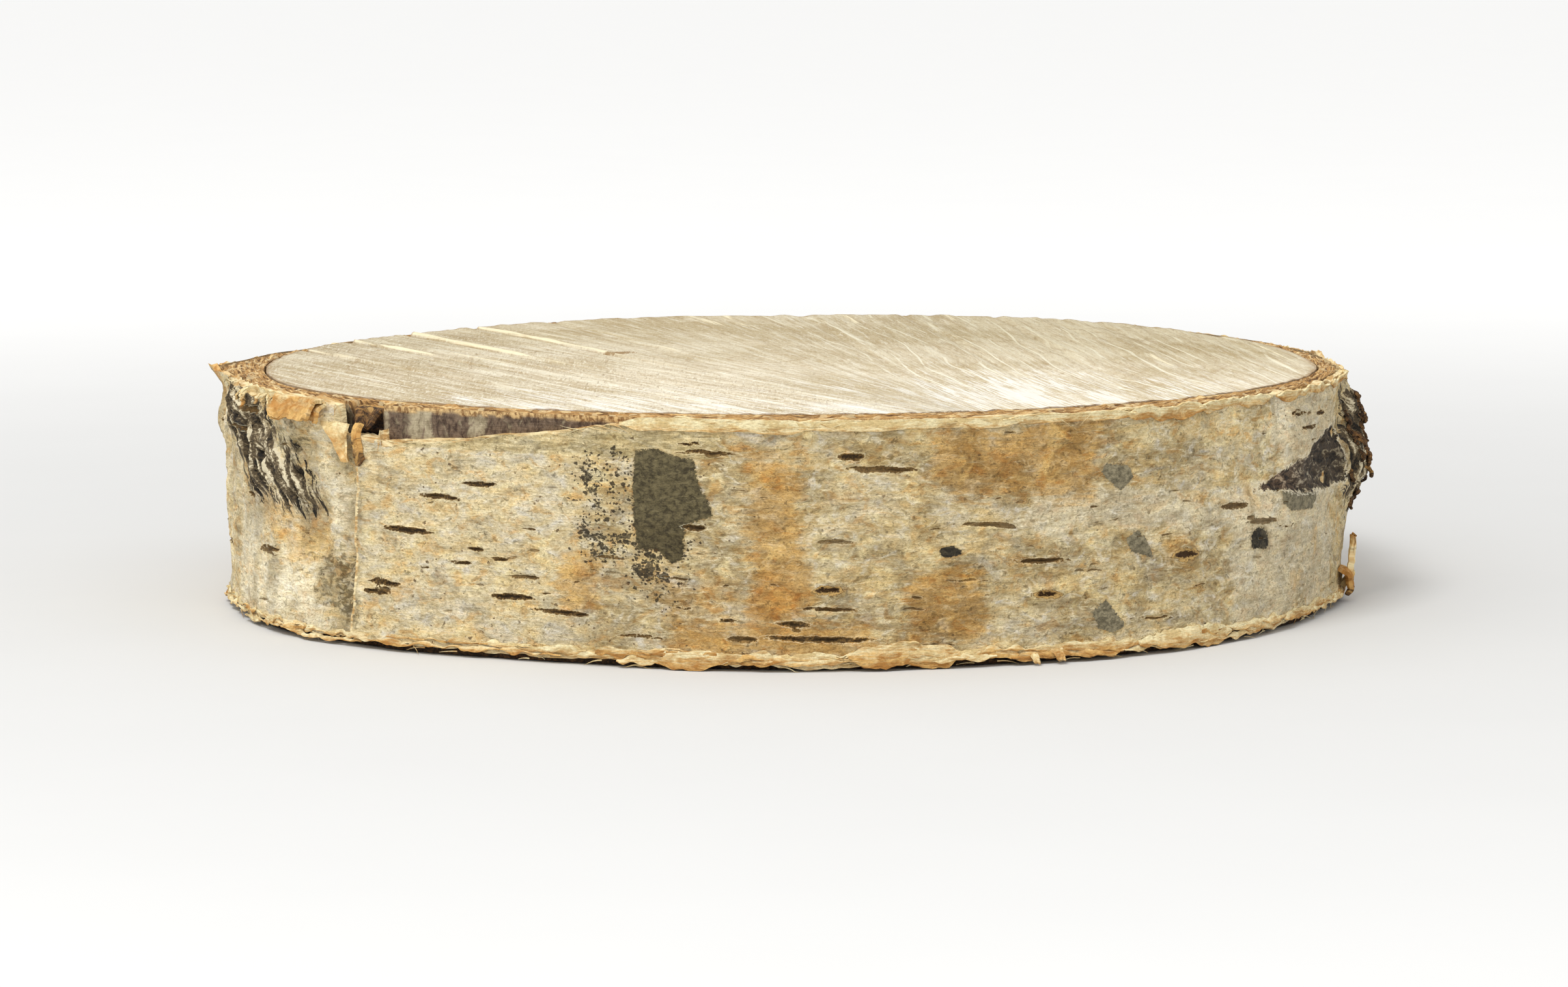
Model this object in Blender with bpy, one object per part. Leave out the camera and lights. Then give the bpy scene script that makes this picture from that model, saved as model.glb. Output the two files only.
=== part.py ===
"""Birch wood slice: a sawn disc of pale wood in its ring of papery bark.

Metres, +Z up. The slice lies on its lower sawn face, with the middle of its box at X = Y = 0.
Angles are in degrees anticlockwise from +X, seen from above. The show side of the bark faces -Y,
at 270 degrees. Places on the bark are (angle, height) pairs, with heights in mm over the base.
"""

import math

import bmesh
import bpy
from mathutils import Vector, noise

MM = 0.001

HEIGHT = 23.0  # mm, between the two saw cuts
GAP = 0.3  # mm, the open line between wood and bark
COLUMNS = 180  # upright edges round the slice
MIDDLE_RADIUS = 57.5  # mm, turns a length along the bark into an angle

# Angle, radius of the wood in mm, thickness of the bark in mm
OUTLINE = (
    (5, 51.6, 3.2),
    (35, 53.3, 3.9),
    (57, 56.7, 3.5),
    (80, 55.2, 3.4),
    (95, 53.2, 4.5),
    (112, 53.4, 3.2),
    (140, 51.4, 3.3),
    (168, 52.4, 3.3),
    (190, 53.7, 3.2),
    (215, 55.5, 4.2),
    (245, 53.2, 3.8),
    (262, 52.1, 5.2),
    (290, 51.7, 5.3),
    (320, 52.1, 4.3),
    (350, 52.4, 2.9),
)

# Heights of the rows of the bark's outer wall, as shares of its height
ROWS = (0.0, 0.05, 0.13, 0.24, 0.36, 0.48, 0.60, 0.71, 0.80, 0.86, 0.90, 0.95, 1.0)

# The rim of the bark, from the wood outwards: share of the thickness, mm under the saw cut, and how
# much of the notch's depth reaches it
TOP_RIM = ((0.0, 0.45, 0.15), (0.55, 0.35, 0.6), (0.70, 1.15, 1.0), (0.82, 0.2, 1.0))
BOTTOM_RIM = ((0.0, 0.0), (0.6, 0.0))

RIM_JAGS = 0.4  # mm, how ragged the top edge is
FOOT_JAGS = 0.9  # mm, how far the torn lower edge lifts off the ground
WAVES = 0.45  # mm, slow unevenness of the bark
NOTCH = (227.0, 1.9, 3.1)  # angle, half width in degrees and depth in mm of the torn notch

# Swellings of the bark: angle, height, half width in degrees, half height in mm, how far out in mm
SWELLINGS = (
    (186, 23.5, 9, 4.5, 1.9),
    (187, 17.5, 5, 2.6, 1.3),
    (203, 21.5, 5, 3.0, 0.9),
    (219, 21.0, 4, 2.2, 1.1),
    (308.7, 9.3, 3, 1.9, 0.8),
    (350, 15.5, 7, 5.0, 2.9),
    (340, 21.5, 5, 2.5, 1.2),
    (20, 7.0, 9, 5.0, 1.0),
    (62, 14.0, 7, 6.0, 1.4),
    (118, 8.0, 8, 5.0, 1.1),
    (150, 18.0, 6, 4.0, 0.9),
)

PEELED = (229.5, 255.0, 0.85)  # first and last angle of the peeled band, and its depth in mm
PEELED_EDGE = (19.6, 22.0)  # lower edge of the band at its two ends
SEAM = (226.0, 17.5, 0.7, 5.0)  # overlap of two bark sheets: angle, top, step in mm, width in degrees
FISSURED = (196.0, 216.0, 12.0, 0.65)  # angles, lowest height and depth of the cracked black patch
FISSURE_PITCH = 4.4  # mm between furrows
FISSURE_LEAN = 0.55  # how far the furrows lean, as a slope
SCAR = (320.5, 340.0, 14.0, 17.0, 0.9)  # branch scar: apex angle, far angle, heights, depth in mm

# Lenticels that stand out most: angle, height, length in mm
LENTICELS = (
    (239.4, 16.2, 3.7),
    (235.3, 14.8, 5.2),
    (231.8, 11.5, 5.7),
    (244.0, 7.8, 4.2),
    (229.3, 6.2, 4.0),
    (242.8, 5.7, 5.0),
    (247.8, 4.3, 6.4),
    (252.9, 10.1, 3.6),
    (261.9, 19.6, 6.1),
    (277.3, 18.2, 7.4),
    (273.4, 11.9, 3.9),
    (287.4, 13.1, 6.1),
    (273.0, 6.2, 6.6),
    (272.1, 2.9, 10.0),
    (293.2, 9.6, 6.3),
    (294.0, 5.9, 4.5),
    (316.8, 12.4, 5.2),
    (313.0, 4.6, 5.0),
    (330.0, 7.2, 5.4),
    (352.0, 12.0, 4.8),
    (4.0, 17.0, 5.5),
    (12.0, 4.5, 6.0),
    (30.0, 11.5, 7.0),
    (44.0, 18.2, 4.5),
    (52.0, 5.2, 5.2),
    (75.0, 9.0, 6.4),
    (88.0, 15.5, 5.0),
    (101.0, 4.8, 6.8),
    (109.0, 18.6, 4.6),
    (131.0, 12.2, 7.2),
    (142.0, 5.6, 4.4),
    (160.0, 9.8, 5.8),
    (171.0, 15.5, 4.8),
)
LENTICEL_WIDTH = 1.3  # mm
LENTICEL_RISE = 0.65  # mm
LENTICEL_SINK = 0.1  # mm that its rim lies under the bark
ROOT = 1.1  # mm that anything grown on the bark is sunk into it

# Curls and flaps of loose bark: angle, width in mm, then (height, mm out of the bark) along it
CURL_THICKNESS = 0.7  # mm
CURLS = (
    ("hanging_curl", 228.4, 1.8, ((21.0, -ROOT), (20.2, 0.6), (18.4, 1.1), (17.0, 0.5))),
    ("left_lip", 186.0, 3.0, ((21.6, -ROOT), (22.3, 0.7), (22.2, 1.5))),
    ("left_upper_lip", 194.0, 2.6, ((21.2, -ROOT), (22.1, 0.6), (22.5, 1.2))),
    ("folded_flap", 217.0, 4.6, ((21.4, -ROOT), (21.2, 1.0), (20.0, 1.9))),
    ("foot_flap", 280.0, 6.6, ((2.6, -ROOT), (1.8, 0.8), (0.8, 1.7))),
    ("foot_curl", 294.5, 1.3, ((1.7, -ROOT), (1.3, 0.9), (0.6, 1.7))),
    ("right_foot_curl", 340.5, 1.5, ((2.2, -ROOT), (3.4, 0.9), (6.2, 1.5))),
    ("back_flap", 76.0, 6.0, ((20.6, -ROOT), (19.6, 0.9), (17.6, 1.6))),
    ("back_foot_flap", 152.0, 5.0, ((2.8, -ROOT), (2.0, 0.8), (0.9, 1.5))),
)

# Coarse marks of the saw on the upper face. They fan out, from slanting on the left to nearly straight
# away from the show side on the right
SAW_MARKS = (-44.0, -35.0, -25.0, -15.5, -8.0, 9.0, 19.0, 29.0, 39.0, 48.0)  # mm, where they cross Y = 0
SAW_SLANTS = ((-22.0, 0.56), (16.0, 0.13))  # crossing, and mm to the left for each mm away
SAW_MARK_HALF_WIDTH = 1.1  # mm
SAW_MARK_DEPTH = 0.55  # mm at the back, fading to the front
SAW_FADE = 0.45  # share of the depth that is left at the front

WOOD_COLOUR = (0.56, 0.47, 0.35)
BARK_COLOUR = (0.60, 0.53, 0.41)


def clear_scene():
    for thing in list(bpy.data.objects):
        bpy.data.objects.remove(thing, do_unlink=True)


def smooth(value, start, end):
    """0 before start, 1 after end, and an even curve between."""
    share = min(1.0, max(0.0, (value - start) / (end - start)))
    return share * share * (3 - 2 * share)


def window(value, low, high, soft):
    """1 from low to high, falling to 0 over soft on each side."""
    return smooth(value, low - soft, low) * (1 - smooth(value, high, high + soft))


def turn_between(angle, other):
    """The signed turn from other to angle, between -180 and 180 degrees."""
    return (angle - other + 180.0) % 360.0 - 180.0


def round_outline(angle, column):
    """Reads a column of OUTLINE at any angle, as a smooth closed curve through its points."""
    count = len(OUTLINE)
    after = next((i for i in range(count) if OUTLINE[i][0] > angle), 0)
    points = [OUTLINE[(after + step) % count] for step in (-2, -1, 0, 1)]
    places = [turn_between(point[0], points[1][0]) for point in points]
    values = [point[column] for point in points]
    span = places[2]
    share = turn_between(angle, points[1][0]) / span
    slope_1 = (values[2] - values[0]) / (places[2] - places[0]) * span
    slope_2 = (values[3] - values[1]) / (places[3] - places[1]) * span
    a = 2 * share**3 - 3 * share**2 + 1
    b = share**3 - 2 * share**2 + share
    c = share**3 - share**2
    return a * values[1] + b * slope_1 + (1 - a) * values[2] + c * slope_2


def wood_radius(angle):
    return round_outline(angle % 360.0, 1)


def bark_thickness(angle):
    return round_outline(angle % 360.0, 2)


def ripple(angle, height, coarseness, seed):
    """Smooth noise from -1 to 1 over the bark, joined up round the slice."""
    turn = math.radians(angle)
    return noise.noise(Vector((math.cos(turn) * coarseness, math.sin(turn) * coarseness, height + seed)))


def swellings(angle, height):
    out = 0.0
    for at, level, half_angle, half_height, rise in SWELLINGS:
        across = turn_between(angle, at) / half_angle
        along = (height - level) / half_height
        out += rise * math.exp(-(across**2) - along**2)
    return out


def peeled_band(angle, height):
    """The top of the outer sheets is torn away here, down to the layer below."""
    first, last, depth = PEELED
    share = min(1.0, max(0.0, (angle - first) / (last - first)))
    edge = PEELED_EDGE[0] + (PEELED_EDGE[1] - PEELED_EDGE[0]) * share
    return -depth * window(angle, first, last, 1.5) * smooth(height, edge - 0.6, edge + 0.4)


def seam(angle, height):
    """The sheet on the left ends under the one on the right."""
    at, top, step, width = SEAM
    return -step * window(angle, at - width, at - 0.5, 1.2) * (1 - smooth(height, top, top + 2))


def fissures(angle, height):
    first, last, lowest, depth = FISSURED
    inside = window(angle, first, last, 3.0) * smooth(height, lowest - 3, lowest + 2)
    along = math.radians(angle) * MIDDLE_RADIUS + height * FISSURE_LEAN
    return -depth * inside * (0.4 + math.sin(math.tau * along / FISSURE_PITCH))


def branch_scar(angle, height):
    """A three-cornered hollow that widens from its apex to the far end."""
    apex, far, bottom, top, depth = SCAR
    share = min(1.0, max(0.0, (angle - apex) / (far - apex)))
    return -depth * window(angle, apex + 2, far, 2.0) * window(height, bottom, bottom + (top - bottom) * share, 0.8)


def relief(angle, height):
    """How far the bark stands out of its even thickness, in mm."""
    waves = WAVES * (ripple(angle, height / 9.0, 2.6, 3.0) + 0.5 * ripple(angle, height / 5.0, 9.0, 8.0))
    features = swellings(angle, height) + peeled_band(angle, height) + seam(angle, height)
    return waves + features + fissures(angle, height) + branch_scar(angle, height)


def bark_radius(angle, height):
    return wood_radius(angle) + bark_thickness(angle) + relief(angle, height)


def rim_height(angle, torn_share=1.0):
    """The ragged top edge of the bark, with the torn notch."""
    jags = RIM_JAGS * (ripple(angle, 0.0, 14.0, 21.0) + 0.7 * ripple(angle, 0.0, 37.0, 33.0))
    at, half_width, depth = NOTCH
    torn = torn_share * depth * window(angle, at - half_width, at + half_width, 0.6)
    return HEIGHT + min(0.0, jags - 0.1) - torn


def foot_height(angle):
    """The torn lower edge, which touches the ground for most of its length."""
    lift = ripple(angle, 0.0, 6.0, 51.0) + 0.6 * ripple(angle, 0.0, 21.0, 64.0)
    return FOOT_JAGS * max(0.0, lift)


def place(angle, radius, height):
    """A point in metres from an angle, a radius and a height in mm."""
    turn = math.radians(angle)
    return Vector((radius * math.cos(turn), radius * math.sin(turn), height)) * MM


def paint(thing, name, colour, roughness):
    material = bpy.data.materials.new(name)
    material.use_nodes = True
    shader = material.node_tree.nodes["Principled BSDF"]
    shader.inputs["Base Color"].default_value = (*colour, 1.0)
    shader.inputs["Roughness"].default_value = roughness
    shader.inputs["Metallic"].default_value = 0.0
    thing.data.materials.clear()
    thing.data.materials.append(material)


def add_object(name, bm, collection=None):
    bmesh.ops.recalc_face_normals(bm, faces=bm.faces)
    mesh = bpy.data.meshes.new(name)
    bm.to_mesh(mesh)
    bm.free()
    thing = bpy.data.objects.new(name, mesh)
    (collection or bpy.context.scene.collection).objects.link(thing)
    return thing


def column_angles():
    return [360.0 * column / COLUMNS for column in range(COLUMNS)]


def bridge_rings(bm, rings):
    """Joins each ring of vertices to the next, and the last one to the first."""
    for inner, outer in zip(rings, rings[1:] + rings[:1]):
        for column in range(COLUMNS):
            after = (column + 1) % COLUMNS
            bm.faces.new((inner[column], inner[after], outer[after], outer[column]))


def ring_of(bm, radius_at, height_at):
    return [bm.verts.new(place(angle, radius_at(angle), height_at(angle))) for angle in column_angles()]


def rim_share(angle, share, height):
    """Radius on the bark's end grain, at a share of the way from the wood to its outer side."""
    inner = wood_radius(angle) + GAP
    return inner + (bark_radius(angle, height) - inner) * share


def bark_ring():
    """The ring as one closed wall: its foot, its outer side, its rim and its inner side."""
    bm = bmesh.new()
    rings = []
    for share, lift in BOTTOM_RIM:
        rings.append(ring_of(bm, lambda a, s=share: rim_share(a, s, foot_height(a)), lambda a, up=lift: up))
    for row in ROWS:

        def level(angle, share=row):
            foot = foot_height(angle)
            return foot + (rim_height(angle) - foot) * share

        rings.append(ring_of(bm, lambda a, up=level: bark_radius(a, up(a)), level))
    for share, drop, torn in reversed(TOP_RIM):
        rings.append(
            ring_of(
                bm,
                lambda a, s=share: rim_share(a, s, rim_height(a)),
                lambda a, down=drop, t=torn: rim_height(a, t) - down,
            )
        )
    bridge_rings(bm, rings)
    return add_object("bark", bm)


def lenticel(collection, number, angle, height, length):
    """A slim lens that lies along the bark: one of the corky pores."""
    half = math.degrees(length / 2 / MIDDLE_RADIUS)
    surface = bark_radius(angle, height)
    ends = [place(angle + turn, surface - LENTICEL_SINK, height) for turn in (-half, half)]
    crest = place(angle, surface + LENTICEL_RISE, height)
    root = place(angle, surface - ROOT, height)
    rim = surface - LENTICEL_SINK
    low, high = (place(angle, rim, height + LENTICEL_WIDTH * side) for side in (-0.5, 0.5))
    bm = bmesh.new()
    left, right, crest, root, low, high = (bm.verts.new(p) for p in (*ends, crest, root, low, high))
    for end in (left, right):
        for ridge in (crest, root):
            for edge in (low, high):
                bm.faces.new((end, ridge, edge))
    return add_object(f"lenticel_{number:02d}", bm, collection)


def curl(collection, name, angle, width, path):
    """A bent slab of loose bark that starts inside the ring and stands out of it."""
    half = math.degrees(width / 2 / MIDDLE_RADIUS)
    points = [(height, bark_radius(angle, height) + out) for height, out in path]
    bm = bmesh.new()
    sections = []
    for i, (height, radius) in enumerate(points):
        before, after = points[max(0, i - 1)], points[min(len(points) - 1, i + 1)]
        along = Vector((after[0] - before[0], after[1] - before[1])).normalized()
        side = Vector((-along.y, along.x)) * CURL_THICKNESS / 2
        corners = []
        for turn, sign in ((-half, -1), (half, -1), (half, 1), (-half, 1)):
            at = place(angle + turn, radius + side.y * sign, height + side.x * sign)
            corners.append(bm.verts.new(at))
        sections.append(corners)
    for low, high in zip(sections, sections[1:]):
        for i in range(4):
            bm.faces.new((low[i], low[(i + 1) % 4], high[(i + 1) % 4], high[i]))
    bm.faces.new(sections[0])
    bm.faces.new(sections[-1])
    return add_object(name, bm, collection)


def join_all(body, collection):
    """Unites everything in the collection with the body, and then removes it."""
    union = body.modifiers.new("union", "BOOLEAN")
    union.operation = "UNION"
    union.operand_type = "COLLECTION"
    union.collection = collection
    bpy.context.view_layer.objects.active = body
    bpy.ops.object.modifier_apply(modifier=union.name)
    for thing in list(collection.objects):
        bpy.data.objects.remove(thing, do_unlink=True)
    bpy.data.collections.remove(collection)


def bark():
    ring = bark_ring()
    growths = bpy.data.collections.new("growths")
    bpy.context.scene.collection.children.link(growths)
    for number, (angle, height, length) in enumerate(LENTICELS, start=1):
        lenticel(growths, number, angle, height, length)
    for name, angle, width, path in CURLS:
        curl(growths, name, angle, width, path)
    join_all(ring, growths)
    paint(ring, "bark", BARK_COLOUR, 0.75)
    return ring


def saw_line(mark):
    """A point of a saw mark in metres, and the level direction across it."""
    (left, slant_left), (right, slant_right) = SAW_SLANTS
    slant = slant_left + (slant_right - slant_left) * smooth(mark, left, right)
    return Vector((mark, 0.0, 0.0)) * MM, Vector((1.0, slant, 0.0)).normalized()


def saw_depth(point):
    """How deep the coarse saw marks are at a point of the upper face, in metres."""
    nearest = min(abs(across.dot(point - start)) for start, across in map(saw_line, SAW_MARKS)) / MM
    shape = max(0.0, 1 - nearest / SAW_MARK_HALF_WIDTH)
    fade = SAW_FADE + (1 - SAW_FADE) * smooth(point.y / MM, -40.0, 40.0)
    return SAW_MARK_DEPTH * shape * fade * MM


def cut_saw_marks(bm):
    """Divides the upper face along both edges and the bottom of each mark, and sinks the marks."""
    top = HEIGHT * MM
    for start, across in map(saw_line, SAW_MARKS):
        for offset in (-SAW_MARK_HALF_WIDTH, 0.0, SAW_MARK_HALF_WIDTH):
            faces = [f for f in bm.faces if all(v.co.z > top - MM for v in f.verts)]
            edges = {e for f in faces for e in f.edges}
            verts = {v for f in faces for v in f.verts}
            bmesh.ops.bisect_plane(
                bm,
                geom=[*faces, *edges, *verts],
                dist=1e-6,
                plane_co=start + across * offset * MM,
                plane_no=across,
            )
    for vert in bm.verts:
        if vert.co.z > top - MM:
            vert.co.z = top - saw_depth(vert.co)


def wood():
    bm = bmesh.new()
    lower, upper = (ring_of(bm, wood_radius, lambda a, up=level: up) for level in (0.0, HEIGHT))
    for column in range(COLUMNS):
        after = (column + 1) % COLUMNS
        bm.faces.new((lower[column], lower[after], upper[after], upper[column]))
    bm.faces.new(lower)
    bm.faces.new(upper)
    cut_saw_marks(bm)
    bmesh.ops.triangulate(bm, faces=bm.faces)
    disc = add_object("wood", bm)
    paint(disc, "wood", WOOD_COLOUR, 0.8)
    return disc


def centre_on_origin(things):
    """Moves the meshes so that the middle of their common box is at X = Y = 0."""
    points = [v.co for thing in things for v in thing.data.vertices]
    middle = Vector([(min(p[i] for p in points) + max(p[i] for p in points)) / 2 for i in (0, 1)])
    for thing in things:
        for vert in thing.data.vertices:
            vert.co.x -= middle.x
            vert.co.y -= middle.y


def main():
    clear_scene()
    things = [wood(), bark()]
    centre_on_origin(things)


main()
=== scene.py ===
import math

import bpy
import numpy as np
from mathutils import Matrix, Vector


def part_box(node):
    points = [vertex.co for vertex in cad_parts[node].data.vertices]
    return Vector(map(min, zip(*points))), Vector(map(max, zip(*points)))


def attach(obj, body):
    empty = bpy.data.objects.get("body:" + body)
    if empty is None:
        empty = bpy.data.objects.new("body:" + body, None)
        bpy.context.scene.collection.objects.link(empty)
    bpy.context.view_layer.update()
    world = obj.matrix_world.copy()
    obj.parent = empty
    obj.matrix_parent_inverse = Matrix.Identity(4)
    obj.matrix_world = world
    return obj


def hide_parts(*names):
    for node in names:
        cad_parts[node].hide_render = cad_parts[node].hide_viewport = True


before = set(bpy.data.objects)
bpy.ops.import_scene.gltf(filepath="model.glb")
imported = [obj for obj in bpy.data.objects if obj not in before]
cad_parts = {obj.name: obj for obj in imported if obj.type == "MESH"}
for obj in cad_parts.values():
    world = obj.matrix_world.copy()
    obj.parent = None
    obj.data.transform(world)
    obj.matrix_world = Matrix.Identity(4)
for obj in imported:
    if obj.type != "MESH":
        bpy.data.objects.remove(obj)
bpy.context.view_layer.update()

MM = 0.001
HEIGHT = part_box("wood")[1].z / MM  # mm between the two saw cuts
POLE = np.array([1.36, -0.77])  # mm, the place that the angles of the outline are measured round
MIDDLE_RADIUS = 57.5  # mm, turns an angle into a length along the bark
PER_DEGREE = math.radians(MIDDLE_RADIUS)  # mm along the bark

# Round the bark, angles are in degrees anticlockwise from +X and heights in mm over the base.
# The show side is at 270 degrees.
SEAM_FRONT = 226.0  # where the front sheet's edge lies over the left one
SEAM_BACK = 53.0
SHEET = 0.9  # mm, thickness of the white outer sheets
SEAM_STEP = 0.50  # mm that a sheet stands proud at its free edge
SEAM_LEAN = 0.075  # degrees that a free edge leans for each mm of height

# Swellings: angle, height, half width in degrees, half height in mm, how far out in mm
SWELLINGS = (
    (185.5, 23.7, 6, 2.6, 2.8),
    (187, 17.5, 5, 2.6, 1.3),
    (203, 21.5, 5, 3.0, 0.9),
    (219, 21.0, 4, 2.2, 1.1),
    (308.7, 9.3, 3, 1.9, 0.5),
    (351, 13.4, 6, 4.0, 1.9),
    (352, 18.8, 6, 2.8, 0.9),
    (340, 21.5, 5, 2.5, 0.3),
    (380, 7.0, 9, 5.0, 1.0),
    (62, 14.0, 7, 6.0, 1.4),
    (118, 8.0, 8, 5.0, 1.1),
    (150, 18.0, 6, 4.0, 0.9),
)
RIM_SHARE = 0.85  # share of the first one that the brown bark follows

PINCH = (352.0, 24.0, 0.7)  # angle, half width in degrees, and mm that the outline is tucked in there
THIN = ((352.0, 26.0, 0.5), (199.0, 22.0, 0.5))  # angle, half width, share that the white sheets are thinner

# Lenticels: angle, height, length, width in mm and darkness
LENTICELS = (
    (239.4, 16.2, 3.9, 0.75, 1), (235.3, 14.8, 5.4, 0.75, 0.9), (231.8, 11.5, 5.9, 0.95, 1),
    (239, 10.1, 2, 0.6, 0.9), (241.4, 9.4, 1.9, 0.6, 0.8), (237.4, 8.8, 2.4, 0.5, 0.9),
    (244, 7.8, 4.4, 0.55, 0.7), (229.3, 6.4, 4.2, 0.7, 1), (228.2, 5.5, 3.6, 0.7, 0.9),
    (242.8, 5.9, 5.2, 0.85, 1), (247.8, 4.8, 6.4, 0.75, 0.9), (252.9, 10.1, 3.6, 0.5, 0.6),
    (260.3, 20.7, 2.7, 0.45, 1), (261.9, 19.9, 6.3, 0.6, 0.9), (274.8, 19.6, 2.7, 1.05, 1),
    (277.6, 18.4, 7.4, 0.85, 0.7), (260.7, 13.1, 2.6, 0.8, 0.9), (273.4, 11.9, 4.4, 0.6, 0.5),
    (287.4, 13.1, 6.3, 0.6, 0.6), (273.2, 5.7, 6.6, 0.55, 0.8), (259.8, 5.7, 2, 0.4, 0.9),
    (263.6, 4.7, 2, 0.5, 1), (272.1, 3, 10.9, 0.8, 0.9), (269.8, 4.4, 3.4, 0.8, 0.9),
    (293.2, 9.5, 6.5, 0.7, 0.75), (289.6, 12.8, 2.4, 0.5, 0.6), (316.8, 12.9, 5.2, 0.9, 0.7),
    (321.6, 11, 6.3, 0.9, 0.55), (326.5, 10.1, 5, 0.35, 0.8), (265, 3, 3, 0.9, 0.7),
    (305.5, 3.4, 7, 0.4, 0.6), (298, 8.3, 4, 0.4, 0.5), (328.5, 20.6, 6, 0.5, 0.8),
    (331.5, 19, 5.5, 0.55, 0.9), (335.5, 20, 3.5, 0.75, 1), (333, 17.6, 3.2, 0.4, 0.8),
    (255.5, 3, 5, 0.5, 0.8), (258.5, 8.4, 4, 0.35, 0.7), (281.5, 2.2, 6, 0.5, 0.8),
    (286, 8, 5, 0.35, 0.5), (301, 12.9, 5, 0.3, 0.5), (311, 6, 4, 0.35, 0.6),
    (244.5, 12.4, 2, 0.35, 0.8), (233.5, 8.1, 1.8, 0.35, 0.8),
)

# More of them, drawn at random: how many, and the range of each number in the list above
MORE_PORES = (
    (46, (-8.0, 222.0), (2, 21), (2.2, 7.5), (0.5, 0.95), (0.6, 1)),
    (260, (0, 360), (1, 22), (0.7, 2.6), (0.2, 0.36), (0.2, 0.7)),
)

# Cracked eyes with an orange rim: angle, height, length and width in mm
EYES = (
    (272.8, 7.5, 3.2, 1.4),
    (293.6, 6.4, 3.7, 1.4),
    (309.3, 9, 4, 2),
)

# Outlines of painted patches, as (angle, height) points
DARK_PLATES = (
    ((254.9, 19.9), (256.7, 20.2), (258.6, 19.5), (260.5, 19.3), (262.2, 14.2), (259.8, 13.4),
     (259.7, 10.1), (258.6, 9.7), (257.2, 11), (255.1, 11)),
)
GREY_PLATES = (
    ((299.5, 17.4), (300, 18), (302.6, 17.8), (303.3, 16.8), (301.6, 15.5), (300.8, 16.1)),
    ((302.5, 10.9), (303.9, 11.7), (304.8, 10.7), (305.5, 8.9), (303.2, 9.6)),
    ((298.3, 4.3), (299.9, 5.4), (300.6, 4.6), (301.9, 3), (300.9, 2.4), (299.1, 2.9)),
    ((325.3, 13.4), (334.1, 12.5), (333, 11.1), (327.3, 11.4), (325.9, 12.2)),
    ((70.5, 8.2), (72.3, 9.6), (74.8, 9.9), (76.6, 8.4), (75.7, 6.3), (73, 5.6)),
    ((128.2, 17.6), (130.1, 18.9), (132, 17.8), (132.6, 15.2), (130.8, 13.6), (129.3, 14.8)),
)
BLACK_BARK = (
    ((193.8, 21.6), (196.5, 23.7), (209.5, 23.7), (212.5, 21), (215.4, 19), (218.6, 16),
     (220.8, 13), (217.4, 12.5), (211, 13), (207, 13.2), (203.4, 17.4), (199, 19.2)),
    ((345, 21), (347.5, 22.4), (358, 21.5), (362, 13), (355, 8.3), (349, 9.6), (346, 13)),
    ((98, 23.5), (106, 23.5), (104, 15), (99.5, 17)),
)
TAN_PATCHES = (
    ((209.4, 12.9), (216, 13.7), (221.9, 11.7), (222, 8.1), (218.7, 7.1), (213.8, 8), (211, 10.1)),
    ((306.6, 10.4), (309, 10.8), (311.3, 9.4), (310.9, 8.4), (307.4, 8.4)),
    ((178, 26), (191.5, 26), (190, 20.6), (182, 19.8)),
    ((316, 15.4), (319.6, 15.2), (320.4, 12.6), (316.8, 12.2)),
    ((327.5, 5), (330.5, 5.2), (331.5, 2.6), (329, 2.2)),
    ((333, 8.6), (335.5, 9.2), (336.5, 5), (334, 4.6)),
    ((255.6, 8.6), (258.5, 9.2), (264.5, 9.6), (269.6, 9.2), (270.4, 4.4), (256.4, 3.6)),
    ((20, 18), (32, 19), (34, 11), (24, 9)),
)
SMUDGES = (
    ((220.8, 8.2), (225.6, 8.8), (225.6, 3), (222, 3), (220.4, 5.7)),
    ((212.4, 21.2), (216.8, 21), (218.6, 18.8), (217.4, 16.4), (215.6, 17), (213.4, 19.4)),
    ((140, 9), (146, 10), (147, 4), (141, 3)),
)
STAINS = (
    ((265, 20.4), (270.8, 18.8), (271.4, 4.6), (265.3, 4.6)),
    ((282.6, 21.6), (301, 22.4), (298.4, 15.6), (286.7, 15.3), (281.6, 17.4)),
    ((279.4, 10), (287.6, 9.4), (288.1, 2.2), (279.6, 2.4)),
    ((247.3, 10.5), (251.3, 10.1), (251.8, 4.4), (247.8, 4.2)),
    ((258, 4.6), (277, 4.8), (277.6, 0.8), (257, 0.8)),
    ((10, 20), (16, 20), (17, 4), (9, 5)),
    ((85, 21), (93, 20), (92, 6), (86, 7)),
    ((158, 15), (170, 17), (172, 5), (160, 3)),
)
PALE_BANDS = (
    ((291.5, 15.5), (310.6, 14.5), (324, 15.5), (324, 22.5), (339.8, 22.1), (343, 17.2), (341, 2),
     (316.1, 1.2), (316, 10.1), (311.8, 11.6), (292.5, 12.6)),
    ((212, 7), (219, 6), (221, 1), (203, 1), (200, 12), (207, 13)),
    ((219, 16), (225, 17), (225.5, 9.5), (221.5, 12)),
    ((35, 8), (60, 9), (60, 3), (36, 2)),
    ((110, 20), (126, 21), (124, 14), (112, 13)),
)
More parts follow.
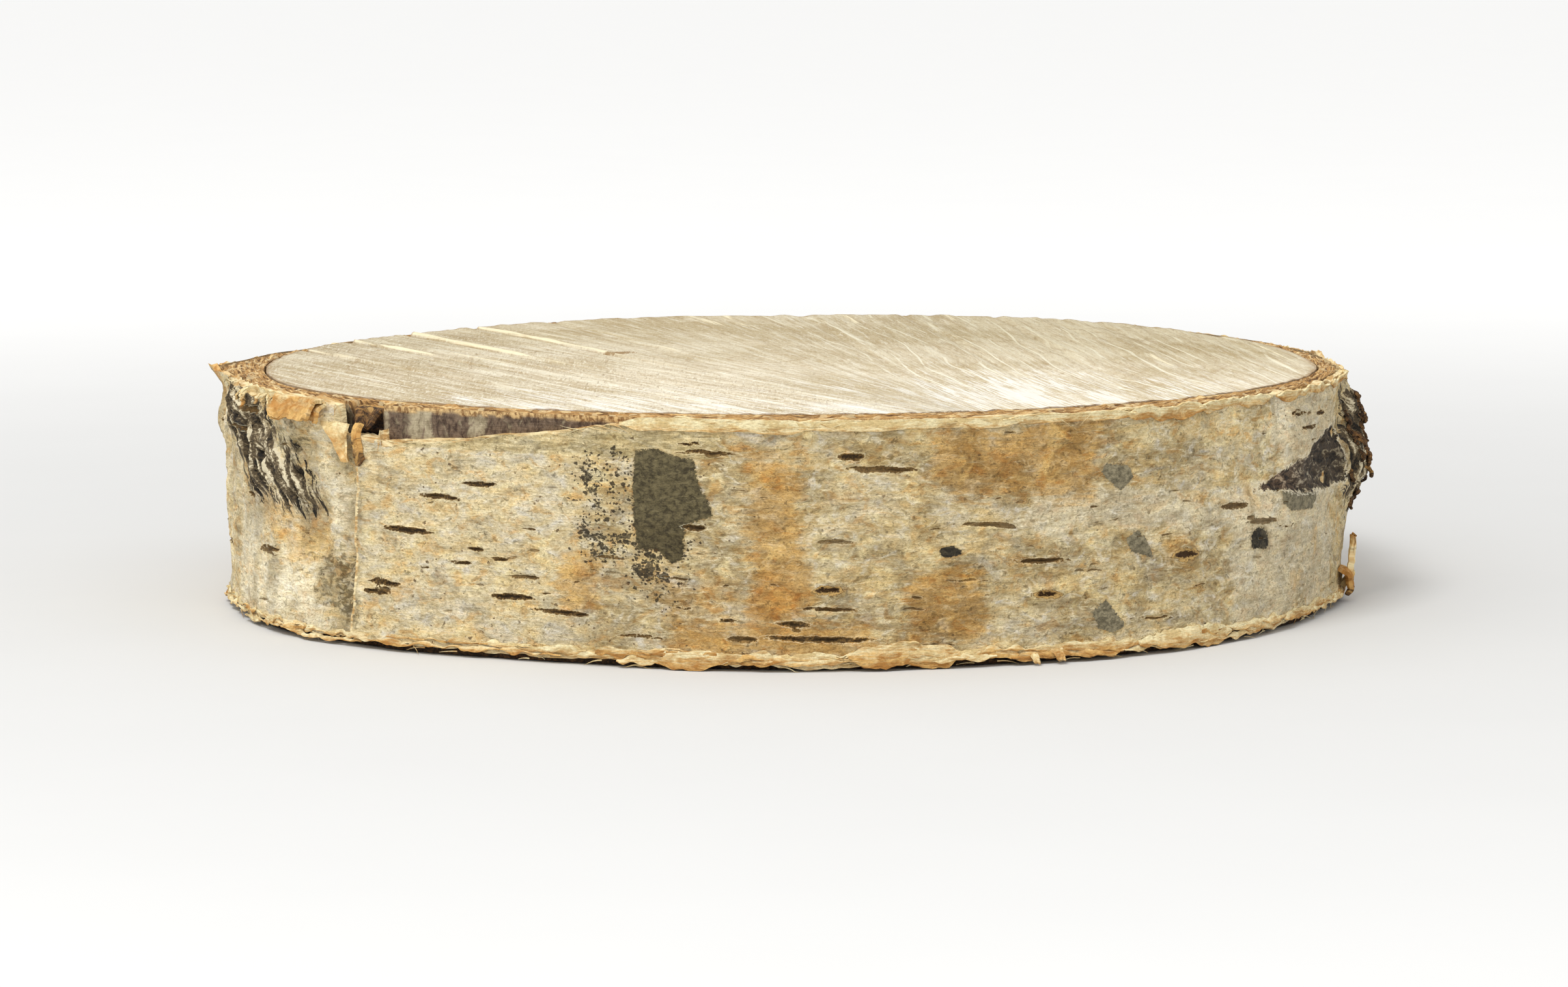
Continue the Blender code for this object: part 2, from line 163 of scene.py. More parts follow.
# Patches with soft edges: name, outlines, how uneven they are made in two ways, and mm inside where they start and end
SOFT_PATCHES = (
    ("stain", STAINS, 0.9, 0.8, -1.1, 1.8),
    ("tan", TAN_PATCHES, 1.3, 0.0, -1.2, 1.4),
    ("pale", PALE_BANDS, 1.6, 1.0, -1.6, 1.6),
    ("smudge", SMUDGES, 1.2, 0.0, -1.4, 1.4),
)
MOULD = (
    ((250, 18.2), (251.6, 18.4), (251.8, 14.6), (250.6, 14.4)),
    ((249.4, 12.9), (254.9, 12.6), (254.9, 11.4), (250.2, 11.3)),
    ((250.2, 11.2), (254, 11.4), (253, 9.9), (250.8, 10)),
    ((254.8, 10.9), (258.2, 10.6), (257.8, 7.9), (255.6, 7.6), (254.6, 9.4)),
)
MOULD_SCATTER = (
    ((150, 14), (156, 15), (155, 7), (151, 8)),
    ((248.4, 19.7), (254.9, 20.3), (254.9, 10.2), (250, 9), (248.8, 14.7)),
    ((253.9, 11.8), (260.5, 11.5), (259.9, 6), (254.2, 5.6)),
)
SPOTS = ((284.2, 10.6, 1.0, 0.55), (321.2, 9.2, 1.65, 1.05), (40.0, 14.0, 1.1, 0.9))  # angle, height, half sizes
SCAR = ((320.4, 14.1), (325.8, 15.5), (332.1, 16.6), (339.4, 18.2), (344.0, 18.0), (346.0, 12.5),
        (340.2, 12.2), (328.8, 13.1))

PEELED = ((228.8, 19.7), (232.9, 20.2), (238.4, 20.5), (242.2, 20.9), (246.7, 21.4), (251.1, 22.0), (255.0, 22.7))
UNDER_LAYER = (231.5, 254.5, 19.25)  # angles and lower edge of the second sheet that shows
RIM_DROP = 0.12  # mm that the bark stays under the saw cut
GRAIN = 1.0  # mm between the pale grains of the inner bark
NOTCH = (226.0, 2.5, 3.0)  # angle, half width in degrees, depth in mm

# Dark stretches of the layer that lies bare in the peeled band: first and last angle
PEEL_DARK = ((229.6, 231.6), (234.4, 237.6), (240.0, 256.0))

# The saw: its marks fan out, from a slant on the left to nearly straight away on the right
FAN_LEFT, FAN_RIGHT = -22.0, 16.0  # mm from the pole, where a mark crosses the left-right line
SLANT_LEFT, SLANT_RIGHT = 0.56, 0.13  # mm to the left for each mm away
COARSE_MARKS = (-44.0, -35.0, -25.0, -15.5, -8.0, 9.0, 19.0, 29.0, 39.0, 48.0)  # mm, where they cross that line
MARK_BEND = 0.0015  # for each mm, on the right: the marks curve outwards at the front
PITH = np.array([-3.7, 2.0])  # mm from the pole
SLIT = (-18.5, 8.0, 2.8, 1.5)  # mm from the pole, and half its length and its depth, which here sets the half width of the painted slit

TABLES = np.random.default_rng(11).uniform(-1.0, 1.0, (12, 2048, 256))


def smooth(value, start, end):
    """0 before start, 1 after end, and an even curve between."""
    share = np.clip((value - start) / (end - start), 0.0, 1.0)
    return share * share * (3 - 2 * share)


def window(value, low, high, soft):
    return smooth(value, low - soft, low) * (1 - smooth(value, high, high + soft))


def span(angle, low, high, soft):
    """1 between two angles, with soft ends, and 0 elsewhere round the slice."""
    return window(angle % 360.0, low, high, soft)


def noise(x, y, layer, period=2048):
    """Smooth noise from -1 to 1, with cells of one unit. It repeats after a period of x."""
    table = TABLES[layer % len(TABLES)]
    column, row = np.floor(x).astype(int), np.floor(y).astype(int)
    u, v = x - column, y - row
    u, v = u * u * (3 - 2 * u), v * v * (3 - 2 * v)
    left, right, low, high = column % period, (column + 1) % period, row % 256, (row + 1) % 256
    below = table[left, low] * (1 - u) + table[right, low] * u
    above = table[left, high] * (1 - u) + table[right, high] * u
    return below * (1 - v) + above * v


def rough(x, y, layer, octaves=4):
    """Noise with finer and finer detail, about -1 to 1."""
    total = sum(noise(x * 2**i, y * 2**i + 31 * i, layer + i) / 2**i for i in range(octaves))
    return total / 1.5


def on_bark(angle, height, wide, high, layer, octaves=1):
    """Noise over the bark with cells of wide by high mm. It joins up round the slice."""
    total = 0.0
    for i in range(octaves):
        count = round(360.0 * PER_DEGREE / wide) * 2**i
        total = total + noise(angle * count / 360.0, height / high * 2**i + 31 * i, layer + i, count) / 2**i
    return total / (1.0, 1.3, 1.5, 1.6)[octaves - 1]


def waves(angle, height, *layers):
    """Sum of noises over the bark, each with its amount, width, height, layer and octaves."""
    return sum(amount * on_bark(angle, height, *rest) for amount, *rest in layers)


def grains(x, y, layer):
    """Distance to the nearest of many scattered points, one for each unit square, and its own random value."""
    column, row = np.floor(x).astype(int), np.floor(y).astype(int)
    nearest, own = np.full(np.shape(x), 9.0), np.zeros(np.shape(x))
    for i in (-1, 0, 1):
        for j in (-1, 0, 1):
            c, r = (column + i) % 256, (row + j) % 256
            across = column + i + 0.5 + 0.42 * TABLES[layer][c, r] - x
            along = row + j + 0.5 + 0.42 * TABLES[layer + 1][c, r] - y
            distance = np.hypot(across, along)
            closer = distance < nearest
            own = np.where(closer, TABLES[layer + 2][c, r], own)
            nearest = np.where(closer, distance, nearest)
    return nearest, own


def warped(angle, height, amount=1.0):
    """Places shifted by noise, so that each outline drawn at them is uneven."""
    along = waves(angle, height, (0.55, 2.3, 1.9, 1), (0.24, 0.9, 0.7, 3), (0.12, 0.4, 0.35, 5))
    up = waves(angle, height, (0.24, 2.6, 1.7, 2), (0.12, 0.8, 0.6, 4))
    return angle + amount * along / PER_DEGREE, height + amount * up


def turn_between(angle, other):
    return (angle - other + 180.0) % 360.0 - 180.0


def inside(outline, angle, height):
    """Distance in mm into a patch on the bark, less than 0 outside it."""
    middle = np.mean([point[0] for point in outline])
    x = turn_between(angle, middle) * PER_DEGREE
    points = [((a - middle) * PER_DEGREE, h) for a, h in outline]
    nearest, within = np.full(np.shape(x), 99.0), np.zeros(np.shape(x), bool)
    for (x0, y0), (x1, y1) in zip(points, points[1:] + points[:1]):
        share = np.clip(((x - x0) * (x1 - x0) + (height - y0) * (y1 - y0)) / ((x1 - x0) ** 2 + (y1 - y0) ** 2), 0, 1)
        nearest = np.minimum(nearest, np.hypot(x - x0 - share * (x1 - x0), height - y0 - share * (y1 - y0)))
        if y0 != y1:
            crosses = (y0 > height) != (y1 > height)
            within ^= crosses & (x < (x1 - x0) * (height - y0) / (y1 - y0) + x0)
    return np.where(within, nearest, -nearest)


def deepest(outlines, angle, height):
    return np.max([inside(outline, angle, height) for outline in outlines], axis=0)


def node_shape(name):
    """Angle, radius and height of each vertex of a solid, in degrees and mm round the pole."""
    points = np.array([v.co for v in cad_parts[name].data.vertices]) / MM
    x, y = points[:, 0] - POLE[0], points[:, 1] - POLE[1]
    return np.degrees(np.arctan2(y, x)) % 360.0, np.hypot(x, y), points[:, 2]


def wood_outline():
    angle, radius, height = node_shape("wood")
    low = height < 0.1
    order = np.argsort(angle[low])
    return angle[low][order], radius[low][order]


def bark_outline():
    """The even outer line of the solid bark, below its swellings."""
    angle, radius, height = node_shape("bark")
    wall = (height > 3) & (height < 19)
    places = np.arange(0.0, 360.0, 3.0)
    radii = []
    for place in places:
        near = wall & (np.abs(turn_between(angle, place)) < 4.0)
        radii.append(np.percentile(radius[near], 30))
    return places, np.array(radii)


WOOD_LINE = wood_outline()
BARK_LINE = bark_outline()


def wood_radius(angle):
    return np.interp(angle, *WOOD_LINE, period=360.0)


def bark_line(angle):
    at, half, depth = PINCH
    return np.interp(angle, *BARK_LINE, period=360.0) - depth * np.exp(-((turn_between(angle, at) / half) ** 2))


def sheet_depth(angle):
    """Thickness in mm of the white sheets."""
    return SHEET * (1 - sum(less * np.exp(-((turn_between(angle, at) / half) ** 2)) for at, half, less in THIN))


def swell(angle, height, at, level, half_angle, half_height, rise):
    """Mm that one swelling stands out at a place."""
    return rise * np.exp(-((turn_between(angle, at) / half_angle) ** 2) - ((height - level) / half_height) ** 2)


def rim_push(angle, height):
    """How far the flared rim on the left carries the brown bark outwards."""
    *place, rise = SWELLINGS[0]
    return swell(angle, height, *place, RIM_SHARE * rise)


def lenticel_list():
    """All pores: those drawn one by one, more of them round the back, and many fine ones."""
    draw = np.random.default_rng(5)
    pores = list(LENTICELS)
    for count, *ranges in MORE_PORES:
        pores += [tuple(draw.uniform(*ends) for ends in ranges) for _ in range(count)]
    return pores


PORES = lenticel_list()
LEAN = 0.03  # mm that a pore drops for each degree
SLENDER = 0.33  # half its width, as a share of the width in the list


def lens(angle, height, at, level, length, width):
    """1 along the middle of a pointed lens, 0 on its edge and less than 0 outside."""
    along = turn_between(angle, at) * PER_DEGREE / (length / 2)
    up = (height - level) / (width / 2)
    return 1 - along**2 - np.abs(up)


def lens_place(marks, angle, height):
    """Share of the way along and up to the edge of the nearest of many marks, and its last value."""
    along, up = np.full(np.shape(angle), 9.0), np.full(np.shape(angle), 9.0)
    own = np.zeros(np.shape(angle))
    for at, level, length, width, value in marks:
        near = np.abs(turn_between(angle, at)) < length
        near &= np.abs(height - level) < width * 2.2
        if not near.any():
            continue
        x = np.abs(turn_between(angle[near], at)) * PER_DEGREE / (length / 2)
        y = np.abs(height[near] - level + LEAN * turn_between(angle[near], at)) / (width * SLENDER)
        closer = x**2 + y < along[near] ** 2 + up[near]
        rows = np.flatnonzero(near)[closer]
        along.flat[rows] = x[closer]
        up.flat[rows] = y[closer]
        own.flat[rows] = value
    return along, up, own


def pores(angle, height):
    """How deep a place lies in a pore, and how dark that pore is."""
    along, up, dark = lens_place(PORES, angle, height)
    return 1 - along**2 - up, dark


def warped_pores(angle, height):
    """The pores have uneven edges, and lean a little one way or the other."""
    return angle, height + 0.10 * on_bark(angle, height, 1.4, 2.0, 2)


def eyes(angle, height):
    return np.max([lens(angle, height, *eye) for eye in EYES], axis=0)


EYE_MARKS = [(*eye, 1.0) for eye in EYES]


def peel_edge(angle):
    """Height at which the outer sheet ends; over the peeled stretch it is well under the saw cut."""
    return np.interp(angle % 360.0, *zip(*PEELED), left=99.0, right=99.0)


def rim_height(angle):
    """Ragged top edge of the outer sheets. At the back it stays under the sawn face."""
    jags = waves(angle, 0, (0.26, 2.6, 1, 1), (0.13, 0.8, 1, 2), (0.20, 9.0, 1, 3))
    back = span(angle, 20.0, 166.0, 14.0)
    edge = HEIGHT - RIM_DROP + jags * (1 - 0.5 * back) - 0.65 * back
    edge = np.minimum(edge, peel_edge(angle) + 0.5 * jags)
    at, half, depth = NOTCH
    return edge - depth * span(angle, at - half, at + half, 0.5)


def foot_height(angle):
    """Torn lower edge of the outer sheets."""
    lift = waves(angle, 0, (1.0, 9.0, 1, 4), (0.5, 2.6, 1, 5), (0.35, 0.8, 1, 6))
    right = span(angle, 283.0, 350.0, 5.0)
    return np.maximum(0.15, 0.72 + 0.40 * lift + 0.15 * right)


def furrow_bend(angle, height):
    """Mm that the furrows wander sideways."""
    return waves(angle, height, (1.3, 4.0, 4.0, 7), (0.5, 1.5, 1.6, 3))


def furrows(angle, height):
    """Steep cracks of the old black bark, from -1 in a crack to 1 on a ridge."""
    leaning = angle + (0.5 * height + furrow_bend(angle, height)) / PER_DEGREE
    wave = waves(leaning, height, (1.0, 0.8, 2.6, 8), (0.9, 0.42, 1.3, 9), (0.5, 0.3, 0.5, 2))
    return np.clip(wave * 1.2, -1, 1)


def old_bark(angle, height):
    """How far a place belongs to the black bark: the patches fray into single cracks."""
    place = warped(angle, height)
    depth = deepest(BLACK_BARK, *place)
    return smooth(depth + 1.6 * on_bark(angle, height, 2.2, 3.6, 4) - 1.3 * furrows(angle, height), -0.7, 1.1)


def bark_face(angle, height):
    """Radius of the outer side of the bark, with its waves, cracks, pores and torn layers."""
    out = waves(angle, height, (0.34, 15, 9, 0, 2), (0.16, 5.5, 4.0, 6, 2))
    out = out + waves(angle, height, (0.10, 2.4, 1.2, 3, 3)) + waves(angle, height, (0.05, 1.6, 0.35, 5, 2))
    for swelling in SWELLINGS:
        out = out + swell(angle, height, *swelling)
    left = span(angle, 184.0, 222.0, 8.0)
    out = out + left * 0.45 * on_bark(angle, height, 2.6, 6.0, 7, 3)
    right = span(angle, 312.0, 350.0, 6.0) * smooth(height, 12.0, 17.0)
    out = out + right * 0.22 * on_bark(angle + 0.3 * height, height, 3.0, 9.0, 8, 2)
    out = out + old_bark(angle, height) * (0.5 * furrows(angle, height) + 0.15)
    scar = smooth(inside(SCAR, *warped(angle, height)), -0.3, 0.8)
    ridges = on_bark(angle + 0.8 * height, height, 1.5, 1.3, 2, 3)
    out = out + scar * (0.5 * ridges - 0.45)
    depth, _ = pores(*warped_pores(angle, height))
    out = out + 0.12 * np.exp(-(((depth + 0.15) / 0.28) ** 2)) - 0.20 * smooth(depth, 0.05, 0.5)
    eye = eyes(angle, height)
    out = out + 0.30 * smooth(eye, -0.7, 0.1) - 0.45 * smooth(eye, 0.45, 0.8)
    first, last, level = UNDER_LAYER
    edge = level + 0.25 * on_bark(angle, 0, 2.2, 1, 6)
    out = out - 0.24 * span(angle, first, last, 1.0) * smooth(height, edge, edge + 0.12)
    plates = deepest(DARK_PLATES + GREY_PLATES, *warped(angle, height, 0.4))
    out = out + 0.12 * smooth(plates, -0.08, 0.12)
    steps = on_bark(angle, height, 14, 3.6, 6, 3) * 2.4 + 0.25 * on_bark(angle, height, 1.2, 0.5, 9, 2)
    out = out + 0.10 * (np.floor(steps) + smooth(steps % 1.0, 0.0, 0.12))
    return bark_line(angle) + out


def at_place(angle, radius, height):
    """Points in metres from angles, radii and heights in mm."""
    turn = np.radians(angle)
    x, y = POLE[0] + radius * np.cos(turn), POLE[1] + radius * np.sin(turn)
    return joined(x, y, height + 0 * angle) * MM


def add_grid(name, columns, rows):
    """A flat square grid. Its points are then moved to their places."""
    bpy.ops.object.select_all(action="DESELECT")
    bpy.ops.mesh.primitive_grid_add(x_subdivisions=columns, y_subdivisions=rows, size=2.0)
    piece = bpy.context.object
    piece.name = name
    piece.data.name = name
    return piece


def grid_places(piece):
    """Share of the way along and up the grid, from 0 to 1, for each vertex."""
    flat = read_points(piece)
    return (flat[:, 0] + 1) / 2, (flat[:, 1] + 1) / 2


def read_points(piece):
    points = np.empty(len(piece.data.vertices) * 3)
    piece.data.vertices.foreach_get("co", points)
    return points.reshape(-1, 3)


def joined(*columns):
    return np.stack(columns, axis=-1)


def move_points(piece, points):
    piece.data.vertices.foreach_set("co", np.ascontiguousarray(points, dtype=np.float32).ravel())
    piece.data.update()


def mark(piece, **marks):
    """Keeps a value, or a vector, for each vertex under each name, for the material to read."""
    for name, values in marks.items():
        values = np.asarray(values, dtype=np.float32)
        kind, key = ("FLOAT_VECTOR", "vector") if values.ndim == 2 else ("FLOAT", "value")
        attribute = piece.data.attributes.new(name, kind, "POINT")
        attribute.data.foreach_set(key, np.ascontiguousarray(values).ravel())


def activate(piece):
    bpy.ops.object.select_all(action="DESELECT")
    piece.select_set(True)
    bpy.context.view_layer.objects.active = piece


def end_outwards():
    """Turns all faces outwards and leaves edit mode."""
    bpy.ops.mesh.select_all(action="SELECT")
    bpy.ops.mesh.normals_make_consistent(inside=False)
    bpy.ops.object.mode_set(mode="OBJECT")


def close_up(piece, distance=1e-6):
    """Merges what lies together, fills the open ends and turns all faces outwards."""
    activate(piece)
    bpy.ops.object.mode_set(mode="EDIT")
    bpy.ops.mesh.select_all(action="SELECT")
    bpy.ops.mesh.remove_doubles(threshold=distance)
    bpy.ops.mesh.fill_holes(sides=0)
    end_outwards()


def finish_piece(piece, node, material, sharp=60.0):
    activate(piece)
    bpy.ops.object.shade_smooth_by_angle(angle=math.radians(sharp))
    piece.data.materials.clear()
    piece.data.materials.append(material)
    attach(piece, "root")
    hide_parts(node)
    return piece


class Nodes:
    """Adds nodes to a tree and joins them."""

    def __init__(self, owner):
        owner.use_nodes = True
        self.tree = owner.node_tree

    def put(self, socket, value):
        """Sets an input. A name stands for the value kept under it for each vertex."""
        if isinstance(value, str):
            value = self.add("ShaderNodeAttribute", attribute_name=value).outputs["Fac"]
        if isinstance(value, bpy.types.NodeSocket):
            self.tree.links.new(value, socket)
        elif socket.type == "RGBA":
            socket.default_value = (*value, 1.0)
        else:
            socket.default_value = value

    def add(self, kind, **settings):
        node = self.tree.nodes.new(kind)
        for name, value in settings.items():
            setattr(node, name, value)
        return node

    def fill(self, kind, inputs, output=0, **settings):
        """Adds a node, fills its inputs and gives one output."""
        node = self.add(kind, **settings)
        for name, value in inputs.items():
            self.put(node.inputs[name], value)
        return node.outputs[output]


class Paint(Nodes):
    """Builds the nodes of one material."""

    def __init__(self, name, roughness):
        self.material = bpy.data.materials.new(name)
        super().__init__(self.material)
        self.shader = self.tree.nodes["Principled BSDF"]
        self.put(self.shader.inputs["Roughness"], roughness)
        self.put(self.shader.inputs["Specular IOR Level"], 0.3)

    def read(self, name):
        """The vector kept under a name for each vertex."""
        return self.add("ShaderNodeAttribute", attribute_name=name).outputs["Vector"]

    def place(self):
        return self.add("ShaderNodeTexCoord").outputs["Object"]

    def parts(self, value, kind="XYZ"):
        """The three numbers of a vector or a colour."""
        node = self.add("ShaderNodeSeparate" + kind)
        self.put(node.inputs[0], value)
        return node.outputs

    def sum(self, operation, a, b=0.0):
        return self.fill("ShaderNodeMath", {0: a, 1: b}, operation=operation)

    def plus(self, a, b):
        return self.sum("ADD", a, b)

    def minus(self, a, b):
        return self.sum("SUBTRACT", a, b)

    def times(self, a, b):
        return self.sum("MULTIPLY", a, b)

    def size(self, value):
        return self.sum("ABSOLUTE", value)

    def stretch(self, vector, scale):
        return self.fill("ShaderNodeVectorMath", {0: vector, 1: (*scale, 1.0)[:3]}, operation="MULTIPLY")

    def noise(self, vector, scale, detail=3.0, rough=0.5, warp=0.0):
        return self.fill("ShaderNodeTexNoise", {"Vector": self.stretch(vector, scale), "Scale": 1.0,
                                                "Detail": detail, "Roughness": rough, "Distortion": warp}, "Fac")

    def step(self, value, low, high, start=0.0, end=1.0):
        """Turns low to high into start to end, along an even curve."""
        return self.fill("ShaderNodeMapRange", {"Value": value, "From Min": low, "From Max": high, "To Min": start,
                                                "To Max": end}, "Result", interpolation_type="SMOOTHSTEP")

    def uneven(self, value, texture, amount, low=0.3):
        """A value that a texture carries up and down by an amount."""
        return self.plus(value, self.step(texture, low, 1 - low, -amount, amount))

    def mix(self, below, above, share, blend="MIX"):
        return self.fill("ShaderNodeMix", {"Factor": share, 6: below, 7: above}, 2, data_type="RGBA", blend_type=blend)

    def lay(self, below, above, value, low, high, share=1.0, where=None):
        """Covers a colour with another, given as a tone, as a value goes from low to high."""
        cover = self.step(value, low, high, 0.0, share)
        return self.mix(below, tone(*above), cover if where is None else self.times(cover, where))

    def tint(self, colour, filter_colour, share):
        """Lets the texture below show through a colour."""
        return self.mix(colour, filter_colour, share, "MULTIPLY")

    def dye(self, colour, filter_colour, value, low, high, share=1.0):
        """Tints as a value goes from low to high."""
        return self.tint(colour, filter_colour, self.step(value, low, high, 0.0, share))

    def shade(self, colour, value, low, high, dark, light):
        """Darkens a colour, a little warmer, and lightens it, a little cooler."""
        ends = [(level + 0.10 * (1 - level), level, level - 0.20 * (1 - level)) for level in (dark, light)]
        return self.tint(colour, self.mix(*ends, self.step(value, low, high)), 1.0)

    def finish(self, colour, height=None, distance=0.0001, strength=1.0, roughness=None):
        self.put(self.shader.inputs["Base Color"], colour)
        if roughness is not None:
            self.put(self.shader.inputs["Roughness"], roughness)
        if height is not None:
            bump = self.fill("ShaderNodeBump", {"Strength": strength, "Distance": distance, "Height": height})
            self.put(self.shader.inputs["Normal"], bump)
        return self.material


def tone(red, green, blue):
    """A colour from its screen values, 0 to 255."""
    return tuple((c / 255 / 12.92) if c <= 10 else ((c / 255 + 0.055) / 1.055) ** 2.4 for c in (red, green, blue))


def birch_paper():
    """The white outer bark: cream, grey and orange, with fine lines along the bark."""
    p = Paint("birch_paper", 0.75)
    skin = p.read("skin")
    blotch = p.noise(skin, (0.16, 0.30), 3.0, 0.6, 0.8)
    hue = p.noise(skin, (0.30, 0.42), 2.0, 0.55, 0.9)
    other = p.noise(skin, (0.50, 0.75), 2.0, 0.55, 1.0)
    wisps = p.noise(skin, (0.35, 1.9), 4.0, 0.58, 0.5)
    mottle = p.noise(skin, (1.3, 1.7), 4.0, 0.70, 0.5)
    streak = p.noise(skin, (0.8, 6.0), 3.0, 0.6, 0.3)
    grain = p.noise(skin, (3.6, 4.6), 3.0, 0.65)
    edges = p.noise(skin, (0.42, 1.15), 5.0, 0.62, 0.6)
    ground = p.lay(tone(232, 213, 167), (192, 172, 127), blotch, 0.40, 0.60)
    colour = p.lay(ground, (246, 231, 191), "creamy", 0.0, 1.0, 0.85)
    colour = p.lay(colour, (252, 238, 188), hue, 0.52, 0.68, 0.75)
    colour = p.lay(colour, (196, 184, 154), hue, 0.46, 0.32, 0.7)
    colour = p.dye(colour, (0.90, 0.70, 0.47), other, 0.53, 0.68, 0.75)
    colour = p.lay(colour, (240, 231, 206), other, 0.45, 0.33, 0.7)
    warmth = p.noise(skin, (0.24, 0.46), 4.0, 0.62, 0.9)
    colour = p.dye(colour, (1.0, 0.93, 0.80), warmth, 0.49, 0.62)
    colour = p.dye(colour, (0.96, 1.0, 1.15), warmth, 0.49, 0.37)
    pale = p.uneven("pale", hue, 0.35, 0.35)
    colour = p.shade(colour, pale, 0.1, 0.8, 1.0, 1.14)
    colour = p.lay(colour, (240, 232, 208), pale, 0.25, 0.9, 0.5)
    stain = p.uneven("stain", wisps, 0.35)
    colour = p.dye(colour, (0.84, 0.63, 0.36), stain, -0.05, 0.95, 0.9)
    brown = p.uneven("tan", hue, 0.4, 0.35)
    colour = p.dye(colour, (0.86, 0.70, 0.50), brown, 0.1, 1.2, 0.8)
    green = p.lay(tone(186, 168, 118), (232, 214, 164), wisps, 0.4, 0.6)
    colour = p.mix(colour, green, p.step("under", 0.02, 0.12, 0.0, 0.65))
    flakes = p.noise(skin, (0.55, 2.3), 5.0, 0.66, 0.9)
    smooth_stain = p.step(stain, 0.2, 1.0, 0.62, 0.16)
    colour = p.lay(colour, (250, 237, 198), flakes, 0.54, 0.66, 1.0, smooth_stain)
    colour = p.dye(colour, (0.66, 0.60, 0.48), flakes, 0.44, 0.33, 0.65)
    colour = p.shade(colour, wisps, 0.3, 0.7, 0.84, 1.09)
    colour = p.shade(colour, mottle, 0.32, 0.68, 0.76, 1.14)
    colour = p.shade(colour, streak, 0.3, 0.7, 0.90, 1.06)
    colour = p.shade(colour, grain, 0.3, 0.7, 0.86, 1.09)
    crack = p.minus(edges, 0.5)
    broken = p.times(p.step(mottle, 0.44, 0.54), p.step(other, 0.38, 0.52))
    # A painted highlight along one side of each peeling edge.
    rim = p.times(p.step(p.size(p.minus(crack, 0.014)), 0.012, 0.004), broken)
    colour = p.shade(colour, rim, 0.0, 1.0, 1.0, 1.15)
    # A dark line on each peeling edge: partly the crack itself, partly painted shade under the lifted edge.
    line = p.times(p.step(p.size(crack), 0.009, 0.002), broken)
    colour = p.mix(colour, tone(108, 88, 54), p.times(line, 0.6))
    colour = p.lay(colour, (104, 82, 48), streak, 0.31, 0.24, 0.7)
    colour = p.shade(colour, streak, 0.66, 0.76, 1.0, 1.2)
    shadow = p.uneven("shadow", mottle, 0.8)
    colour = p.dye(colour, (0.42, 0.38, 0.30), shadow, 0.0, 1.0, 0.75)
    # Painted light and shade of the folds and wrinkles: lighter and darker bands across them.
    colour = p.shade(colour, p.uneven("fold", mottle, 0.2), -0.7, 0.7, 0.72, 1.20)
    smudge = p.uneven("smudge", mottle, 0.9)
    colour = p.dye(colour, (0.34, 0.32, 0.25), smudge, 0.2, 1.4, 0.85)
    for size, least in ((3.4, 0.16), (1.9, 0.30)):
        cells = p.add("ShaderNodeTexVoronoi")
        p.put(cells.inputs["Vector"], p.stretch(skin, (size, size * 1.15)))
        p.put(cells.inputs["Scale"], 1.0)
        first, second, third = p.parts(cells.outputs["Color"], "Color")
        ragged = p.uneven(cells.outputs["Distance"], grain, 0.18)
        mould = p.minus(p.times("mould", 1.0 - least), first)
        wide = p.step(second, 0.0, 1.0, 0.16, 0.60)
        dot = p.step(p.minus(ragged, wide), 0.02, -0.06)
        colour = p.mix(colour, tone(52, 42, 26), p.times(dot, p.step(mould, -0.02, 0.02, 0.0, 0.9)))
        stray = p.minus(p.times("dotted", 0.022), third)
        point = p.step(p.minus(ragged, p.times(wide, 0.6)), 0.02, -0.06)
        colour = p.mix(colour, tone(84, 60, 32), p.times(point, p.step(stray, -0.01, 0.01, 0.0, 0.8)))
    clot = p.uneven("mould", mottle, 0.4)
    colour = p.lay(colour, (58, 50, 34), clot, 0.90, 1.02, 0.85)
    coarse = p.noise(skin, (1.6, 2.1), 5.0, 0.72, 0.4)
    angle, level, _ = p.parts(skin)
    plate = p.uneven("plate", grain, 0.12)
    plate_colour = p.lay(tone(60, 52, 33), (112, 101, 70), coarse, 0.34, 0.64)
    plate_colour = p.lay(plate_colour, (160, 148, 114), coarse, 0.64, 0.72, 0.7)
    plate_colour = p.shade(plate_colour, level, 12.5, 14.6, 0.80, 1.03)
    colour = p.dye(colour, (0.5, 0.40, 0.26), plate, -0.20, -0.02, 0.45)
    colour = p.mix(colour, plate_colour, p.step(plate, -0.03, 0.02))
    light = p.uneven("grey_plate", grain, 0.10)
    light_colour = p.lay(tone(92, 85, 65), (150, 140, 112), coarse, 0.34, 0.64)
    colour = p.dye(colour, (0.62, 0.52, 0.38), light, -0.18, -0.04, 0.4)
    colour = p.mix(colour, light_colour, p.step(light, -0.03, 0.02))
    colour = p.mix(colour, old_bark_colour(p, grain), old_bark_share(p, grain))
    scar_light = p.noise(skin, (0.55, 1.1), 5.0, 0.70, 1.1)
    scar_colour = p.lay(tone(34, 30, 25), (96, 83, 68), scar_light, 0.36, 0.54)
    scar_colour = p.lay(scar_colour, (178, 168, 146), scar_light, 0.54, 0.61)
    scar_colour = p.shade(scar_colour, angle, 326.0, 341.0, 1.12, 0.62)
    scar_colour = p.dye(scar_colour, (1.0, 0.80, 0.66), angle, 334.0, 326.0, 0.8)
    scar_colour = p.shade(scar_colour, grain, 0.3, 0.7, 0.7, 1.25)
    scar = p.uneven("scar", mottle, 0.3)
    scar_rim = p.step(p.size(p.plus(scar, 0.16)), 0.12, 0.04, 0.0, 0.7)
    colour = p.mix(colour, tone(240, 230, 204), scar_rim)
    colour = p.mix(colour, scar_colour, p.step(scar, -0.02, 0.10))
    colour = p.mix(colour, eye_colour(p, mottle), p.step(lens_field(p, "eye", mottle, 0.35), 0.0, 0.08))
    spot = p.uneven("spot", grain, 0.2)
    colour = p.dye(colour, (0.60, 0.54, 0.42), spot, -0.7, 0.0, 0.5)
